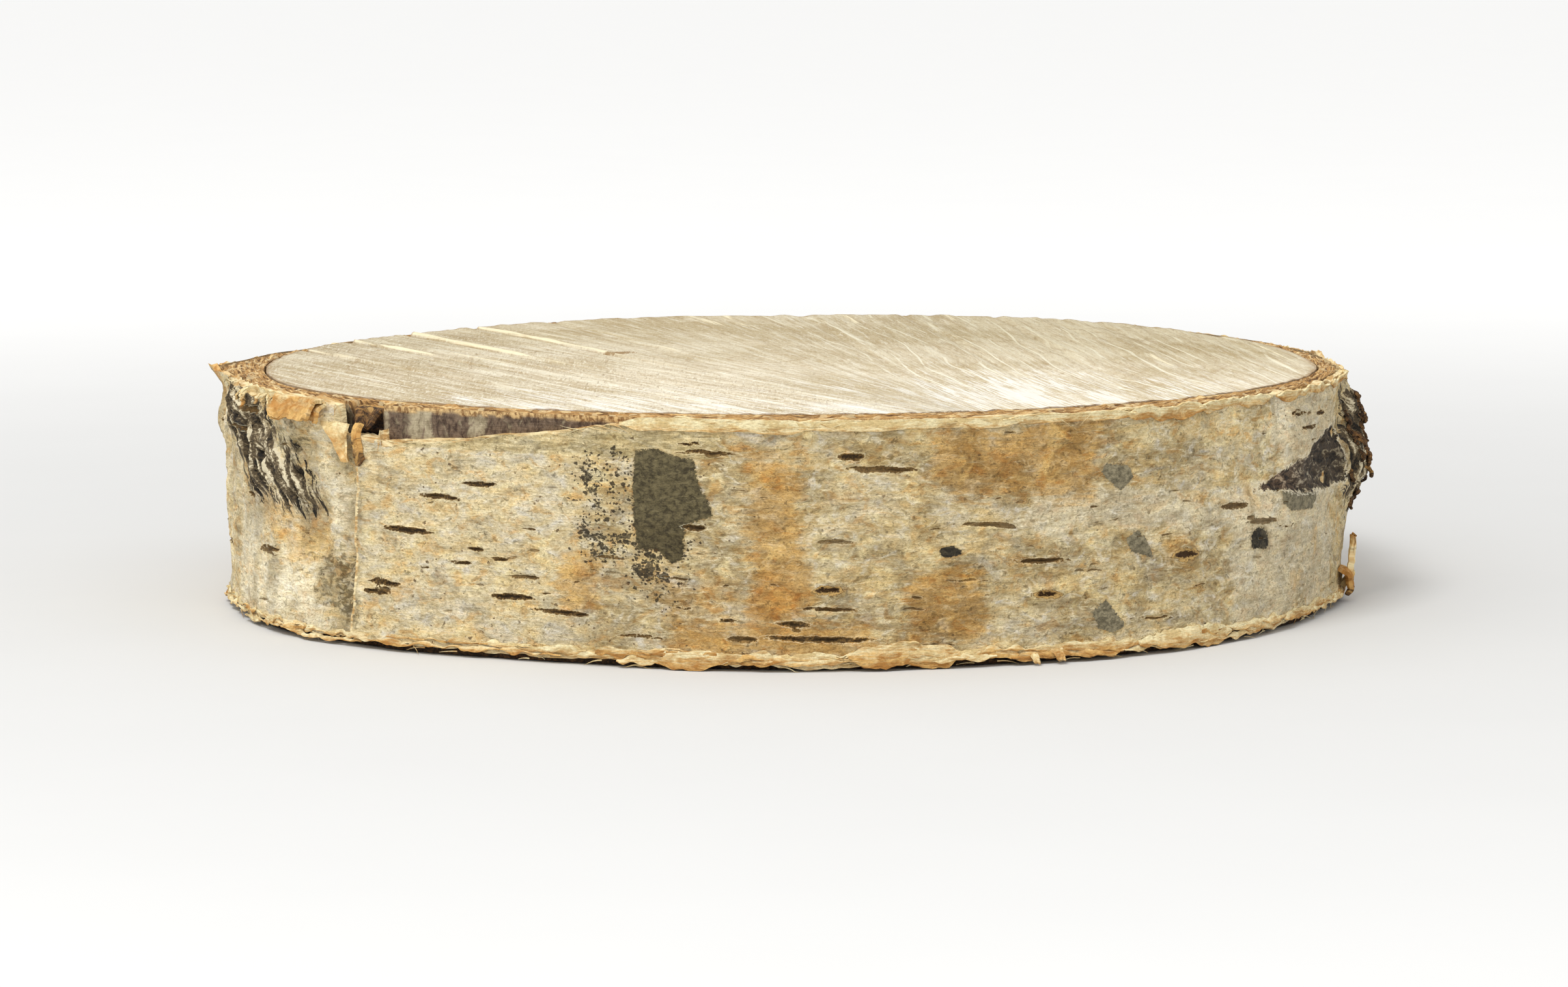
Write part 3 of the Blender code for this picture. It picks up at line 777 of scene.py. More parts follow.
    colour = p.mix(colour, p.lay(tone(38, 33, 24), (84, 76, 57), mottle, 0.4, 0.7), p.step(spot, 0.0, 0.2))
    ragged_pore = p.plus(p.times(mottle, 0.6), p.times(grain, 0.4))
    pore = lens_field(p, "pore", ragged_pore, 0.42)
    strength = p.parts(p.read("pore"))[2]
    core = p.step(p.plus(pore, grain), 0.50, 1.1)
    pore_colour = p.mix(tone(136, 104, 56), tone(60, 44, 22), p.times(core, strength))
    lip = p.times(p.step(pore, -0.6, -0.05, 0.0, 0.45), strength)
    colour = p.tint(colour, (0.88, 0.74, 0.48), lip)
    glint = p.step(p.size(p.plus(pore, 0.28)), 0.18, 0.06, 0.0, 0.4)
    colour = p.mix(colour, tone(250, 238, 202), p.times(glint, strength))
    colour = p.mix(colour, pore_colour, p.times(p.step(pore, 0.0, 0.12), p.step(strength, 0.0, 0.8)))
    torn = p.uneven("torn", streak, 0.35)
    torn_colour = p.lay(tone(206, 164, 102), (250, 230, 180), wisps, 0.38, 0.58)
    torn_colour = p.dye(torn_colour, (0.84, 0.62, 0.36), brown, 0.15, 0.7, 0.95)
    colour = p.mix(colour, torn_colour, p.step(torn, 0.4, 0.8, 0.0, 0.9))
    terraces = p.sum("DIVIDE", p.sum("FLOOR", p.times(edges, 14.0)), 3.0)
    height = p.plus(p.times(streak, 0.5), p.times(grain, 0.5))
    height = p.plus(height, p.plus(p.times(mottle, 1.6), terraces))
    height = p.minus(height, p.times(p.step(pore, -0.05, 0.3), 1.5))
    return p.finish(colour, height, 0.00026, 0.8, p.step(grain, 0.2, 0.8, 0.62, 0.88))


def lens_field(p, name, grain, ragged):
    """1 in the middle of the nearest lens, 0 on its ragged edge."""
    along, up, _ = p.parts(p.read(name))
    field = p.minus(p.minus(1.0, p.sum("POWER", along, 2.6)), up)
    return p.uneven(field, grain, ragged)


def eye_colour(p, uneven):
    """Ochre lids with a dark outline round a brown crack."""
    field = lens_field(p, "eye", uneven, 0.35)
    lids = p.lay(tone(96, 72, 38), (196, 160, 98), field, 0.06, 0.24)
    return p.lay(lids, (74, 52, 28), field, 0.42, 0.66)


def old_bark_strokes(p):
    return p.noise(p.read("lean"), (1.25, 0.30), 5.0, 0.70, 0.35)


def old_bark_share(p, grain):
    """Where the black bark covers the white: its edge frays into single strokes."""
    depth = p.plus("old", p.step(old_bark_strokes(p), 0.62, 0.38, -1.5, 1.3))
    depth = p.uneven(depth, grain, 0.2)
    return p.step(depth, -0.15, 0.25)


def old_bark_colour(p, grain):
    """Brown-black strokes with cream and grey ridges between them."""
    strokes = p.uneven(old_bark_strokes(p), grain, 0.05)
    strokes = p.plus(strokes, p.times("ridge", 0.06))
    dark = p.lay(tone(30, 25, 18), (92, 78, 56), strokes, 0.38, 0.50)
    middle = p.lay(dark, (150, 134, 104), strokes, 0.51, 0.56)
    return p.lay(middle, (232, 219, 186), strokes, 0.57, 0.62)


def inner_bark_stuff():
    """Brown inner bark: torn strands on the cut, grey and purple on its outer side."""
    p = Paint("inner_bark", 0.8)
    place = p.place()
    skin = p.read("skin")
    fine = p.noise(place, (2600,) * 3, 4.0, 0.65)
    strand = p.noise(skin, (0.26, 3.6), 5.0, 0.68, 0.25)
    brown = p.lay(tone(102, 70, 36), (194, 150, 92), strand, 0.38, 0.52)
    brown = p.lay(brown, (244, 214, 154), strand, 0.54, 0.63)
    brown = p.shade(brown, fine, 0.3, 0.7, 0.72, 1.18)
    grain = p.uneven("grain", fine, 0.25)
    pale = p.mix(tone(206, 176, 126), tone(238, 216, 168), "grain_tone")
    colour = p.mix(brown, pale, p.step(grain, 0.45, 0.65, 0.0, 0.55))
    mottle = p.noise(skin, (1.9, 1.1), 5.0, 0.72, 0.4)
    purple = p.lay(tone(66, 50, 40), (128, 108, 88), mottle, 0.36, 0.66)
    grey = p.lay(tone(130, 116, 90), (186, 172, 142), mottle, 0.32, 0.62)
    cloud = p.noise(skin, (0.75, 0.55), 3.0, 0.6, 0.8)
    share = p.uneven("dark", mottle, 0.35)
    share = p.uneven(share, cloud, 0.55)
    side = p.mix(grey, purple, p.step(share, 0.15, 0.85))
    rim = p.lay(tone(132, 94, 54), (222, 188, 132), mottle, 0.38, 0.60)
    side = p.mix(side, rim, "collar")
    colour = p.mix(colour, side, "wall")
    # Painted shade: dark in the notch's hollow and along the lower wall, which shows as the dark gap under the torn
    # foot.
    colour = p.mix(colour, p.lay(tone(30, 20, 12), (92, 64, 36), fine, 0.4, 0.7), "hollow")
    height = p.plus(fine, p.times(strand, 1.5))
    return p.finish(colour, height, 0.0002, 0.8)


def torn_paper_stuff():
    """Thin torn layers: cream, tan and, where the warmth is over 1, dark brown. On the strips the warmth also rises
    towards the lower edge, as painted shade.
    """
    p = Paint("torn_paper", 0.78)
    skin = p.read("skin")
    fibre = p.noise(skin, (0.7, 5.0), 5.0, 0.65, 0.4)
    grain = p.noise(skin, (3.0, 5.0), 5.0, 0.7)
    patch = p.noise(skin, (0.5, 1.1), 4.0, 0.6, 0.6)
    light = p.lay(tone(232, 206, 148), (255, 241, 194), patch, 0.42, 0.58)
    warm = p.lay(tone(184, 130, 64), (228, 184, 112), patch, 0.40, 0.60)
    warmth = p.uneven("warmth", fibre, 0.3)
    colour = p.mix(light, warm, p.step(warmth, 0.1, 0.9))
    colour = p.mix(colour, p.lay(tone(52, 36, 22), (132, 96, 56), grain, 0.4, 0.65), p.step(warmth, 1.0, 1.5))
    colour = p.shade(colour, grain, 0.3, 0.7, 0.78, 1.12)
    colour = p.dye(colour, (0.40, 0.29, 0.17), fibre, 0.43, 0.32, 0.7)
    return p.finish(colour, p.plus(fibre, grain), 0.00025, 0.8)


def sawn_wood():
    """Pale sawn birch, with growth rings, saw marks and lifted fibres."""
    p = Paint("sawn_wood", 0.8)
    place = p.place()
    cut = p.read("cut")
    x, y, _ = p.parts(cut)
    fine = p.noise(place, (1800,) * 3, 3.0, 0.7)
    cloud = p.noise(place, (45,) * 3, 4.0, 0.55, 0.4)
    marks = p.noise(cut, (1.2, 0.03), 4.0, 0.6)
    hair = p.noise(cut, (4.2, 0.12), 4.0, 0.6)
    curls = p.noise(cut, (3.0, 0.26), 4.0, 0.72, 0.8)
    nap = p.noise(place, (4200.0, 480.0, 1000.0), 4.0, 0.68, 0.6)
    colour = p.lay(tone(230, 216, 187), (205, 187, 150), cloud, 0.38, 0.62)
    wander = p.step(p.noise(place, (90,) * 3, 2.0), 0.2, 0.8, -0.35, 0.35)
    count = p.plus(p.times("ring", 25.0), wander)
    part = p.sum("FRACT", count)
    late = p.times(p.step(part, 0.55, 0.95), p.step(part, 1.0, 0.97))
    which = p.noise(p.stretch(p.fill("ShaderNodeCombineXYZ", {0: count}), (0.9, 0.0, 0.0)), (1.0, 1.0), 1.0)
    late = p.times(late, p.step(which, 0.35, 0.7, 0.08, 0.46))
    colour = p.mix(colour, tone(176, 144, 98), late)
    colour = p.lay(colour, (250, 243, 222), marks, 0.52, 0.62, 0.4)
    colour = p.lay(colour, (186, 162, 122), marks, 0.47, 0.36, 0.45)
    colour = p.lay(colour, (255, 250, 232), curls, 0.54, 0.66, 0.4)
    colour = p.lay(colour, (158, 134, 96), curls, 0.44, 0.32, 0.45)
    colour = p.lay(colour, (255, 248, 228), hair, 0.60, 0.66, 0.5)
    colour = p.lay(colour, (150, 122, 82), hair, 0.36, 0.30, 0.4)
    colour = p.lay(colour, (146, 120, 84), fine, 0.38, 0.26, 0.35)
    furry = p.step(x, -6.0, -26.0, 0.45, 1.0)
    bands = p.noise(cut, (0.55, 0.05), 4.0, 0.66, 1.2)
    colour = p.lay(colour, (255, 247, 222), bands, 0.53, 0.62, 0.5, furry)
    colour = p.lay(colour, (176, 152, 113), bands, 0.46, 0.35, 0.5, furry)
    colour = p.lay(colour, (255, 250, 232), nap, 0.52, 0.66, 0.55, furry)
    colour = p.lay(colour, (146, 122, 86), nap, 0.46, 0.32, 0.55, furry)
    sway = p.step(p.noise(cut, (0.06, 0.018), 2.0), 0.2, 0.8, -0.7, 0.7)
    row = p.plus(p.times(x, 0.36), sway)
    line = p.step(p.size(p.minus(p.sum("FRACT", row), 0.5)), 0.06, 0.025)
    kept = p.times(p.step(p.noise(cut, (0.9, 0.05), 3.0), 0.42, 0.56), p.step(x, 1.0, 9.0))
    kept = p.times(kept, p.step(y, -42.0, -26.0, 0.2, 1.0))
    colour = p.mix(colour, tone(254, 247, 224), p.times(p.times(line, kept), 0.85))
    colour = p.dye(colour, (0.79, 0.775, 0.72), y, -34.0, 38.0)
    colour = p.shade(colour, x, -46.0, -18.0, 0.91, 1.0)
    far_right = p.times(p.step(x, 4.0, 34.0), p.step(y, -24.0, 16.0))
    colour = p.tint(colour, (0.93, 0.92, 0.87), far_right)
    colour = p.shade(colour, y, -44.0, -20.0, 1.05, 1.03)
    fuzz = p.uneven("fuzz", hair, 0.45, 0.38)
    colour = p.lay(colour, (255, 252, 242), fuzz, 0.35, 0.75, 0.8)
    # Pale lifted fibres on the saw marks' crests, lightened further as a painted highlight.
    crest = p.uneven("crest", hair, 0.15, 0.35)
    colour = p.lay(colour, (252, 239, 202), crest, 0.35, 0.7, 0.85)
    # Painted shade in the saw marks' grooves.
    trough = p.uneven("trough", hair, 0.15, 0.35)
    colour = p.lay(colour, (142, 110, 68), trough, 0.35, 0.9, 0.7)
    colour = p.lay(colour, (150, 112, 70), "ring", 0.990, 0.998, 0.6)
    colour = p.lay(colour, (120, 86, 50), "ring", 0.014, 0.006, 0.8)
    slit = p.uneven("slit", nap, 0.4)
    colour = p.lay(colour, (150, 116, 68), slit, 0.0, 0.5, 0.85)
    # Painted shade: the wood's wall is dark from about 1.4 mm under the face, deep in the narrow gap to the inner bark.
    colour = p.mix(colour, tone(66, 46, 28), "side")
    height = p.plus(p.times(marks, 1.2), p.plus(hair, curls))
    return p.finish(colour, height, 0.00022, 0.7)


def slant(crossing):
    """How far a saw mark runs to the left for each mm away, from where it crosses the left-right line."""
    return SLANT_LEFT + (SLANT_RIGHT - SLANT_LEFT) * smooth(crossing, FAN_LEFT, FAN_RIGHT)


def fan_place(x, y):
    """Which saw mark runs through a place, given as its crossing in mm, and the place's distance away."""
    crossing = x + 0.3 * y
    for _ in range(40):
        crossing = 0.5 * crossing + 0.5 * (x + slant(crossing) * y)
    return crossing, y


def saw_relief(crossing, away):
    """Height of the sawn face against the cut in mm, how much of a crest each place is, and how deep in a groove it
    lies, for the painted shade there.
    """
    drift = 0.5 * noise(crossing / 7, away / 26, 1) + 0.2 * noise(crossing / 2, away / 7, 2)
    at = crossing + drift
    left = 1 - smooth(crossing, -22.0, -4.0)
    strength = smooth(away, -34.0, 34.0) * (0.30 + 0.70 * left)
    strength = strength * (0.85 + 0.5 * noise(crossing / 4, away / 14, 3)) + 0.12
    offset = np.min([np.abs(at - mark) + 9 * (at < mark) for mark in COARSE_MARKS], axis=0)
    before = np.min([np.abs(at - mark) for mark in COARSE_MARKS], axis=0)
    groove = 1 - smooth(before, 0.0, 0.9)
    broad = 0.85 + 0.45 * noise(crossing / 9, away / 4.5, 7)
    crest = strength * smooth(offset, 0.35, 0.7) * (1 - smooth(offset, broad, broad + 0.6))
    crest = crest * smooth(noise(crossing / 3, away / 12, 8), -1.1, -0.5)
    medium = noise(at / 0.95, away / 46, 4)
    fine = noise(crossing / 0.5, away / 12, 5)
    height = strength * (0.20 * crest - 0.45 * groove) + 0.07 * medium + 0.04 * fine - 0.08
    hairs = 0.62 * smooth(medium, 0.5, 0.9) * smooth(noise(crossing / 2.6, away / 16, 6), 0.0, 0.7)
    crest = np.maximum(crest, hairs)
    return height, crest, strength * groove


def cut_places(points):
    """Crossing of the saw mark, and the distance away, of points in metres."""
    return fan_place(points[:, 0] / MM - POLE[0], points[:, 1] / MM - POLE[1])


DISC_COLUMNS, DISC_ROWS = 520, 80  # across the saw marks and along them
WALL_STEP = -1.5 * MM  # upright rows of the disc's wall below the face


def wood_disc():
    """The sawn wood: a grid whose rows follow the saw marks, then its wall and lower face."""
    piece = add_grid("wood_disc", DISC_COLUMNS, DISC_ROWS)
    share, way = grid_places(piece)
    degrees = np.arange(0, 360, 0.5)
    turn = np.radians(degrees)
    radius = wood_radius(degrees) - 0.05 - 0.10 * np.abs(on_bark(degrees, 0, 2.0, 1, 8))
    x, y = radius * np.cos(turn), radius * np.sin(turn)
    crossing, _ = fan_place(x, y)
    near, far = int(np.argmin(crossing)), int(np.argmax(crossing))
    order = (np.arange(len(turn)) + near) % len(turn)
    split = int(np.flatnonzero(order == far)[0])
    sides = (order[: split + 1], np.append(order[split:], near)[::-1])
    spread = crossing[near] + (crossing[far] - crossing[near]) * (1 - np.cos(np.pi * share)) / 2
    ends = [[np.interp(spread, np.maximum.accumulate(crossing[side]), part[side]) for part in (x, y)] for side in sides]
    place_x = ends[0][0] + (ends[1][0] - ends[0][0]) * way
    place_y = ends[0][1] + (ends[1][1] - ends[0][1]) * way
    points = joined(POLE[0] + place_x, POLE[1] + place_y, np.full(len(way), HEIGHT)) * MM
    points[:, 2] += saw_relief(*cut_places(points))[0] * MM
    move_points(piece, points)
    activate(piece)
    bpy.ops.object.mode_set(mode="EDIT")
    bpy.ops.mesh.select_all(action="SELECT")
    bpy.ops.mesh.remove_doubles(threshold=1e-6)
    bpy.ops.mesh.select_all(action="DESELECT")
    bpy.ops.mesh.select_non_manifold()
    for _ in range(2):
        bpy.ops.mesh.extrude_region_move(TRANSFORM_OT_translate={"value": (0, 0, WALL_STEP)})
    bpy.ops.transform.resize(value=(1, 1, 0), center_override=(0, 0, 0))
    pole = (POLE[0] * MM, POLE[1] * MM, 0.0)
    for scale in (0.97, 0.92, 0.86, 0.80, 0.72, 0.60, 0.40):
        bpy.ops.mesh.extrude_region_move(TRANSFORM_OT_translate={"value": (0, 0, 0)})
        bpy.ops.transform.resize(value=(scale, scale, 1), center_override=pole)
    bpy.ops.mesh.merge(type="CENTER")
    end_outwards()
    points = read_points(piece)
    across, along = cut_places(points)
    x, y = points[:, 0] / MM - POLE[0] - PITH[0], points[:, 1] / MM - POLE[1] - PITH[1]
    from_pole_x, from_pole_y = x + PITH[0], y + PITH[1]
    edge = wood_radius(degrees) * np.stack([np.cos(turn), np.sin(turn)]) - PITH[:, None]
    edge_angle = np.degrees(np.arctan2(edge[1], edge[0])) % 360
    order = np.argsort(edge_angle)
    limit = np.interp(np.degrees(np.arctan2(y, x)) % 360, edge_angle[order], np.hypot(*edge)[order], period=360)
    _, crest, trough = saw_relief(across, along)
    upper = points[:, 2] > (HEIGHT - 1.2) * MM
    mark(piece, ring=np.hypot(x, y) / limit)
    bent = across - MARK_BEND * np.minimum(along, 0.0) ** 2 * smooth(across, -10.0, 15.0)
    mark(piece, cut=joined(bent, along, 0 * along),
         crest=np.where(upper, crest, 0.3 * crest))
    # How deep in a saw groove each place lies, for the painted shade there.
    mark(piece, trough=np.where(upper, trough, 0.3 * trough))
    fuzz = np.exp(-(((from_pole_x - 21) / 17) ** 2) - ((from_pole_y + 33) / 17) ** 2)
    front = 0.55 * (1 - smooth(from_pole_y, -44.0, -20.0)) * window(from_pole_x, -25.0, 40.0, 14.0)
    fuzz = np.maximum(fuzz, front) * (0.7 + 0.6 * noise(across / 2, along / 12, 7)) * upper
    # side marks the wall below the face, for the painted shade in the gap to the inner bark.
    mark(piece, fuzz=fuzz,
         side=1 - smooth(points[:, 2] / MM, HEIGHT - 2.2, HEIGHT - 1.4))
    from_slit = [(from_pole_x - SLIT[0]) / SLIT[2], (from_pole_y - SLIT[1]) / SLIT[3]]
    mark(piece, slit=np.where(upper, 1 - from_slit[0] ** 2 - np.abs(from_slit[1]), -1.0))
    return finish_piece(piece, "wood", sawn_wood())


def loop_rows(*stretches):
    """Joins stretches of a closed profile, each given by its number of rows, into (stretch, share) for every row."""
    rows = []
    for index, count in enumerate(stretches):
        rows += [(index, step / count) for step in range(count)]
    return rows + [(0, 0.0)]


def by_stretch(stretch, *values):
    """The value that belongs to each point's stretch of the profile."""
    return np.select([stretch == i for i in range(len(values))], values)


def place_loop(piece, columns_to_angle, rows, profile):
    """Places a grid round the slice: its columns are angles, and its rows follow a closed profile."""
    share, way = grid_places(piece)
    angle = columns_to_angle(share)
    row = np.rint(way * (len(rows) - 1)).astype(int)
    stretch = np.array([r[0] for r in rows])[row]
    part = np.array([r[1] for r in rows])[row]
    radius, height = profile(angle, stretch, part)
    move_points(piece, at_place(angle, radius, height))
    return angle, radius, height, stretch


def seam_bend(height):
    """Degrees that the free edge of a sheet lies off its upright line at a height."""
    return SEAM_LEAN * (height - 11.0) + 0.30 * on_bark(0 * height, height, 1.0, 2.6, 5, 3)


def near_first(angle, first):
    """1 at the first edge of a sheet, 0 from 6 degrees inside it."""
    return 1 - smooth(angle, first, first + 6.0)


def near_last(angle, last):
    """1 at the last edge of a sheet, where it is tucked in, and 0 from 7 degrees inside it."""
    return smooth(angle, last - 7.0, last - 2.0)


def bent(angle, height, first):
    """Angles of a sheet whose first edge leans."""
    return angle + seam_bend(height) * near_first(angle, first)


def sheet_face(angle, height, first, last):
    """Outer side of one white sheet: proud at its first edge, and tucked in at its last one."""
    tucked = (SHEET * 0.75) * near_last(angle, last)
    return bark_face(bent(angle, height, first), height) + SEAM_STEP * near_first(angle, first) - tucked


def sheet_thickness(angle, first, last):
    whole = smooth(angle, first, first + 6.0) * (1 - near_last(angle, last))
    return sheet_depth(angle) * (0.5 + 0.5 * whole)


def paint_bark(piece, angle, height, outside):
    """Writes down, for each vertex, which patches and marks of the bark it lies in."""
    mark(piece, pore=joined(*lens_place(PORES, *warped_pores(angle, height))),
         eye=joined(*lens_place(EYE_MARKS, angle, height)))
    place = warped(angle, height)
    crisp = warped(angle, height, 0.4)
    mark(piece, plate=deepest(DARK_PLATES, *crisp),
         grey_plate=deepest(GREY_PLATES, *crisp))
    spots = [1 - (turn_between(place[0], at) * PER_DEGREE / wide) ** 2 - ((place[1] - level) / high) ** 2
             for at, level, wide, high in SPOTS]
    mark(piece, spot=np.max(spots, axis=0),
         old=deepest(BLACK_BARK, *place))
    mark(piece, ridge=furrows(angle, height))
    bend = furrow_bend(angle, height)
    mark(piece, lean=joined(angle * PER_DEGREE + 0.5 * height + bend, height, 0 * height))
    cloud = on_bark(angle, height, 5.0, 3.2, 3, 3)
    streaks = on_bark(angle, height, 3.0, 0.8, 9, 3)
    for name, outlines, clouded, streaked, low, high in SOFT_PATCHES:
        depth = deepest(outlines, *place) + clouded * cloud + streaked * streaks
        mark(piece, **{name: smooth(depth, low, high)})
    clumps = on_bark(angle, height, 1.6, 1.4, 8, 2)
    dense = smooth(deepest(MOULD, *place) + 0.5 * clumps, -0.7, 0.5)
    thin = smooth(deepest(MOULD_SCATTER, *place) + 2.2 * clumps, -0.8, 2.4)
    mark(piece, mould=np.maximum(dense, 0.42 * thin),
         scar=inside(SCAR, *crisp))
    first, last, level = UNDER_LAYER
    under = span(angle, first, last + 7, 1.5) * smooth(height, level, level + 0.3)
    mark(piece, under=under * (0.55 + 0.45 * on_bark(angle, height, 3.5, 9.0, 2)),
         dotted=span(angle, 232, 262, 6) + 0.25)
    left = span(angle, 184, 246, 8)
    mark(piece, creamy=left + span(angle, 60, 130, 15))
    from_edge = angle - SEAM_FRONT - seam_bend(height)
    tucked = window(from_edge, -2.4, 0.2, 1.0) * window(height, 2.0, 17.5, 2.5) * (from_edge < 1)
    mark(piece, shadow=tucked * (0.45 + 0.5 * cloud))
    # Painted light and shade of the upright folds on the right and the crumpled wrinkles on the left.
    folds = span(angle, 315.5, 325.0, 2.5) * window(height, 13.0, 23.0, 3.0)
    fold = 2.6 * folds * on_bark(angle + 0.12 * height, height, 1.7, 9.0, 1, 2)
    crumpled = span(angle, 186, 225.5, 2.0) * window(height, 4.0, 21.0, 3.0)
    fold = fold + crumpled * 1.1 * on_bark(angle - 0.25 * height, height, 2.1, 6.0, 10, 2)
    mark(piece, fold=fold)
    edge = np.minimum(rim_height(angle) - height, (height - foot_height(angle)) * 0.8)
    torn = np.where(outside, 1 - smooth(edge + 0.5 * cloud, 0.05, 0.7), 1.0)
    # A painted highlight along the proud free edge of the front sheet, laid in the torn-edge colour.
    free_edge_highlight = smooth(from_edge, -0.01, 0.0) * (1 - smooth(from_edge, 0.1, 0.45))
    torn = np.maximum(torn, free_edge_highlight * (height < 19.5))
    torn = torn * (1 - 0.8 * span(angle, 192.0, 209.0, 2.5) * outside * (height > 12))
    mark(piece, torn=torn)


def bark_sheet(name, first, last, material, columns=1000):
    """One sheet of white bark, closed all round, between two angles."""
    rows = loop_rows(84, 4, 3, 3)
    piece = add_grid(name, columns, len(rows) - 1)

    def profile(angle, stretch, part):
        foot, rim = foot_height(angle), rim_height(angle)
        height = by_stretch(stretch, foot + (rim - foot) * part, rim - 0.15 * np.sin(np.pi * part),
                            rim + (foot - rim) * part, foot)
        face = sheet_face(angle, height, first, last)
        back = face - sheet_thickness(angle, first, last)
        smooth_back = bark_line(angle) - sheet_depth(angle) + rim_push(angle, height)
        back = np.where(stretch == 2, np.minimum(back, smooth_back), back)
        return by_stretch(stretch, face, face + (back - face) * part, back, back + (face - back) * part), height

    angle, radius, height, stretch = place_loop(piece, lambda s: first + (last - first) * s, rows, profile)
    angle = bent(angle, height, first)
    move_points(piece, at_place(angle, radius, height))
    mark(piece, skin=joined(angle * PER_DEGREE, height, radius - bark_line(angle)))
    paint_bark(piece, angle, height, stretch == 0)
    close_up(piece)
    return finish_piece(piece, "bark", material)


INNER_FOOT = 0.1  # mm, height of the inner bark's lower side
PEEL_FOOT = 18.4  # mm, height that its fine rows reach down to


def inner_bark(material):
    """The brown ring between the wood and the white sheets, grainy where it is sawn."""
    rows = loop_rows(3, 18, 20, 4, 3)
    piece = add_grid("inner_bark", 1300, len(rows) - 1)

    def profile(angle, stretch, part):
        inner = wood_radius(angle) + 0.10 + 0.10 * np.abs(on_bark(angle, 0, 2.6, 1, 2))
        gap = 0.06 + 0.30 * smooth(on_bark(angle, 0, 9.0, 1, 5), 0.05, 0.7)
        bare = span(angle, 228.5, 255.0, 1.0)
        outer = bark_line(angle) - sheet_depth(angle) - gap + 0.25 * bare
        top = HEIGHT - RIM_DROP - 0.4 * span(angle, 22.0, 158.0, 20.0)
        at, half, depth = NOTCH
        hole = span(angle, at - half * 0.8, at + half * 0.8, 0.6) * depth * 0.8
        top = top - hole * smooth(part, 0.15, 0.5) * (stretch == 1) - hole * (stretch == 2)
        foot, low = INNER_FOOT, PEEL_FOOT
        height = by_stretch(stretch, foot + (top - foot) * part, top, top + (low - top) * part,
                            low + (foot - low) * part, foot + 0 * angle)
        pushed = outer + rim_push(angle, height)
        radius = by_stretch(stretch, inner, inner + (pushed - inner) * part, pushed, outer,
                            outer + (inner - outer) * part)
        place = at_place(angle, radius, height) / MM
        near, _ = grains(place[:, 0] / GRAIN, place[:, 1] / GRAIN, 0)
        bumps = 0.08 * smooth(near, 0.5, 0.2) + 0.14 * rough(place[:, 0] / 1.1, place[:, 1] / 1.1, 4, 3)
        tears = 1.3 * on_bark(angle, radius, 2.4, 0.45, 6, 3)
        cut = (stretch == 1) & (part > 0.01)
        drop = bumps + 0.2 * tears - 0.12 - 0.4 * smooth(part, 0.82, 1.0)
        height = height + np.where(cut, drop, 0.0)
        wrinkle = 0.10 * on_bark(angle, height, 2.4, 1.3, 7, 3)
        tuck = 0.7 * (1 - bare) * (1 - smooth(height, 21.2, 22.2))
        radius = radius + np.where((stretch >= 2) & (stretch < 4), wrinkle - tuck, 0.0)
        return radius, height

    angle, radius, height, stretch = place_loop(piece, lambda s: 360.0 * s + SEAM_BACK, rows, profile)
    place = read_points(piece) / MM
    near, own = grains(place[:, 0] / GRAIN, place[:, 1] / GRAIN, 0)
    across = np.where(stretch == 1, radius, height)
    mark(piece, skin=joined(angle * PER_DEGREE, across, 0 * angle),
         grain=smooth(near, 0.55, 0.20) * smooth(own, 0.0, 0.3))
    mark(piece, grain_tone=0.5 + 0.5 * own,
         wall=(stretch >= 2).astype(float))
    edge = 0.25 * on_bark(angle, 0, 1.5, 1, 2) + 0.1 * on_bark(angle, 0, 0.5, 1, 4)
    mark(piece, collar=smooth(height + 0.8 * edge, HEIGHT - 0.62, HEIGHT - 0.48))
    at, half, _ = NOTCH
    # Painted shade in the notch and on the lowest 4 to 6 mm of the wall.
    hollow = span(angle, at - half * 0.9, at + half * 0.9, 0.5) * (1 - smooth(height, 22.0, 22.5))
    mark(piece, hollow=np.maximum(hollow, 1 - smooth(height, 4.0, 6.0)))
    dark = np.max([window(angle % 360 + edge, low, high, 0.8) for low, high in PEEL_DARK], axis=0)
    mark(piece, dark=dark)
    close_up(piece, 2e-6)
    return finish_piece(piece, "bark", material)


def finish_layer(piece, material, thickness, offset):
    """Gives a torn layer its thickness, to one side or to both."""
    activate(piece)
    wall = piece.modifiers.new("thickness", "SOLIDIFY")
    wall.thickness = thickness * MM
    wall.offset = offset
    bpy.ops.object.modifier_apply(modifier=wall.name)
    bpy.ops.object.mode_set(mode="EDIT")
    end_outwards()
    return finish_piece(piece, "bark", material, 45.0)


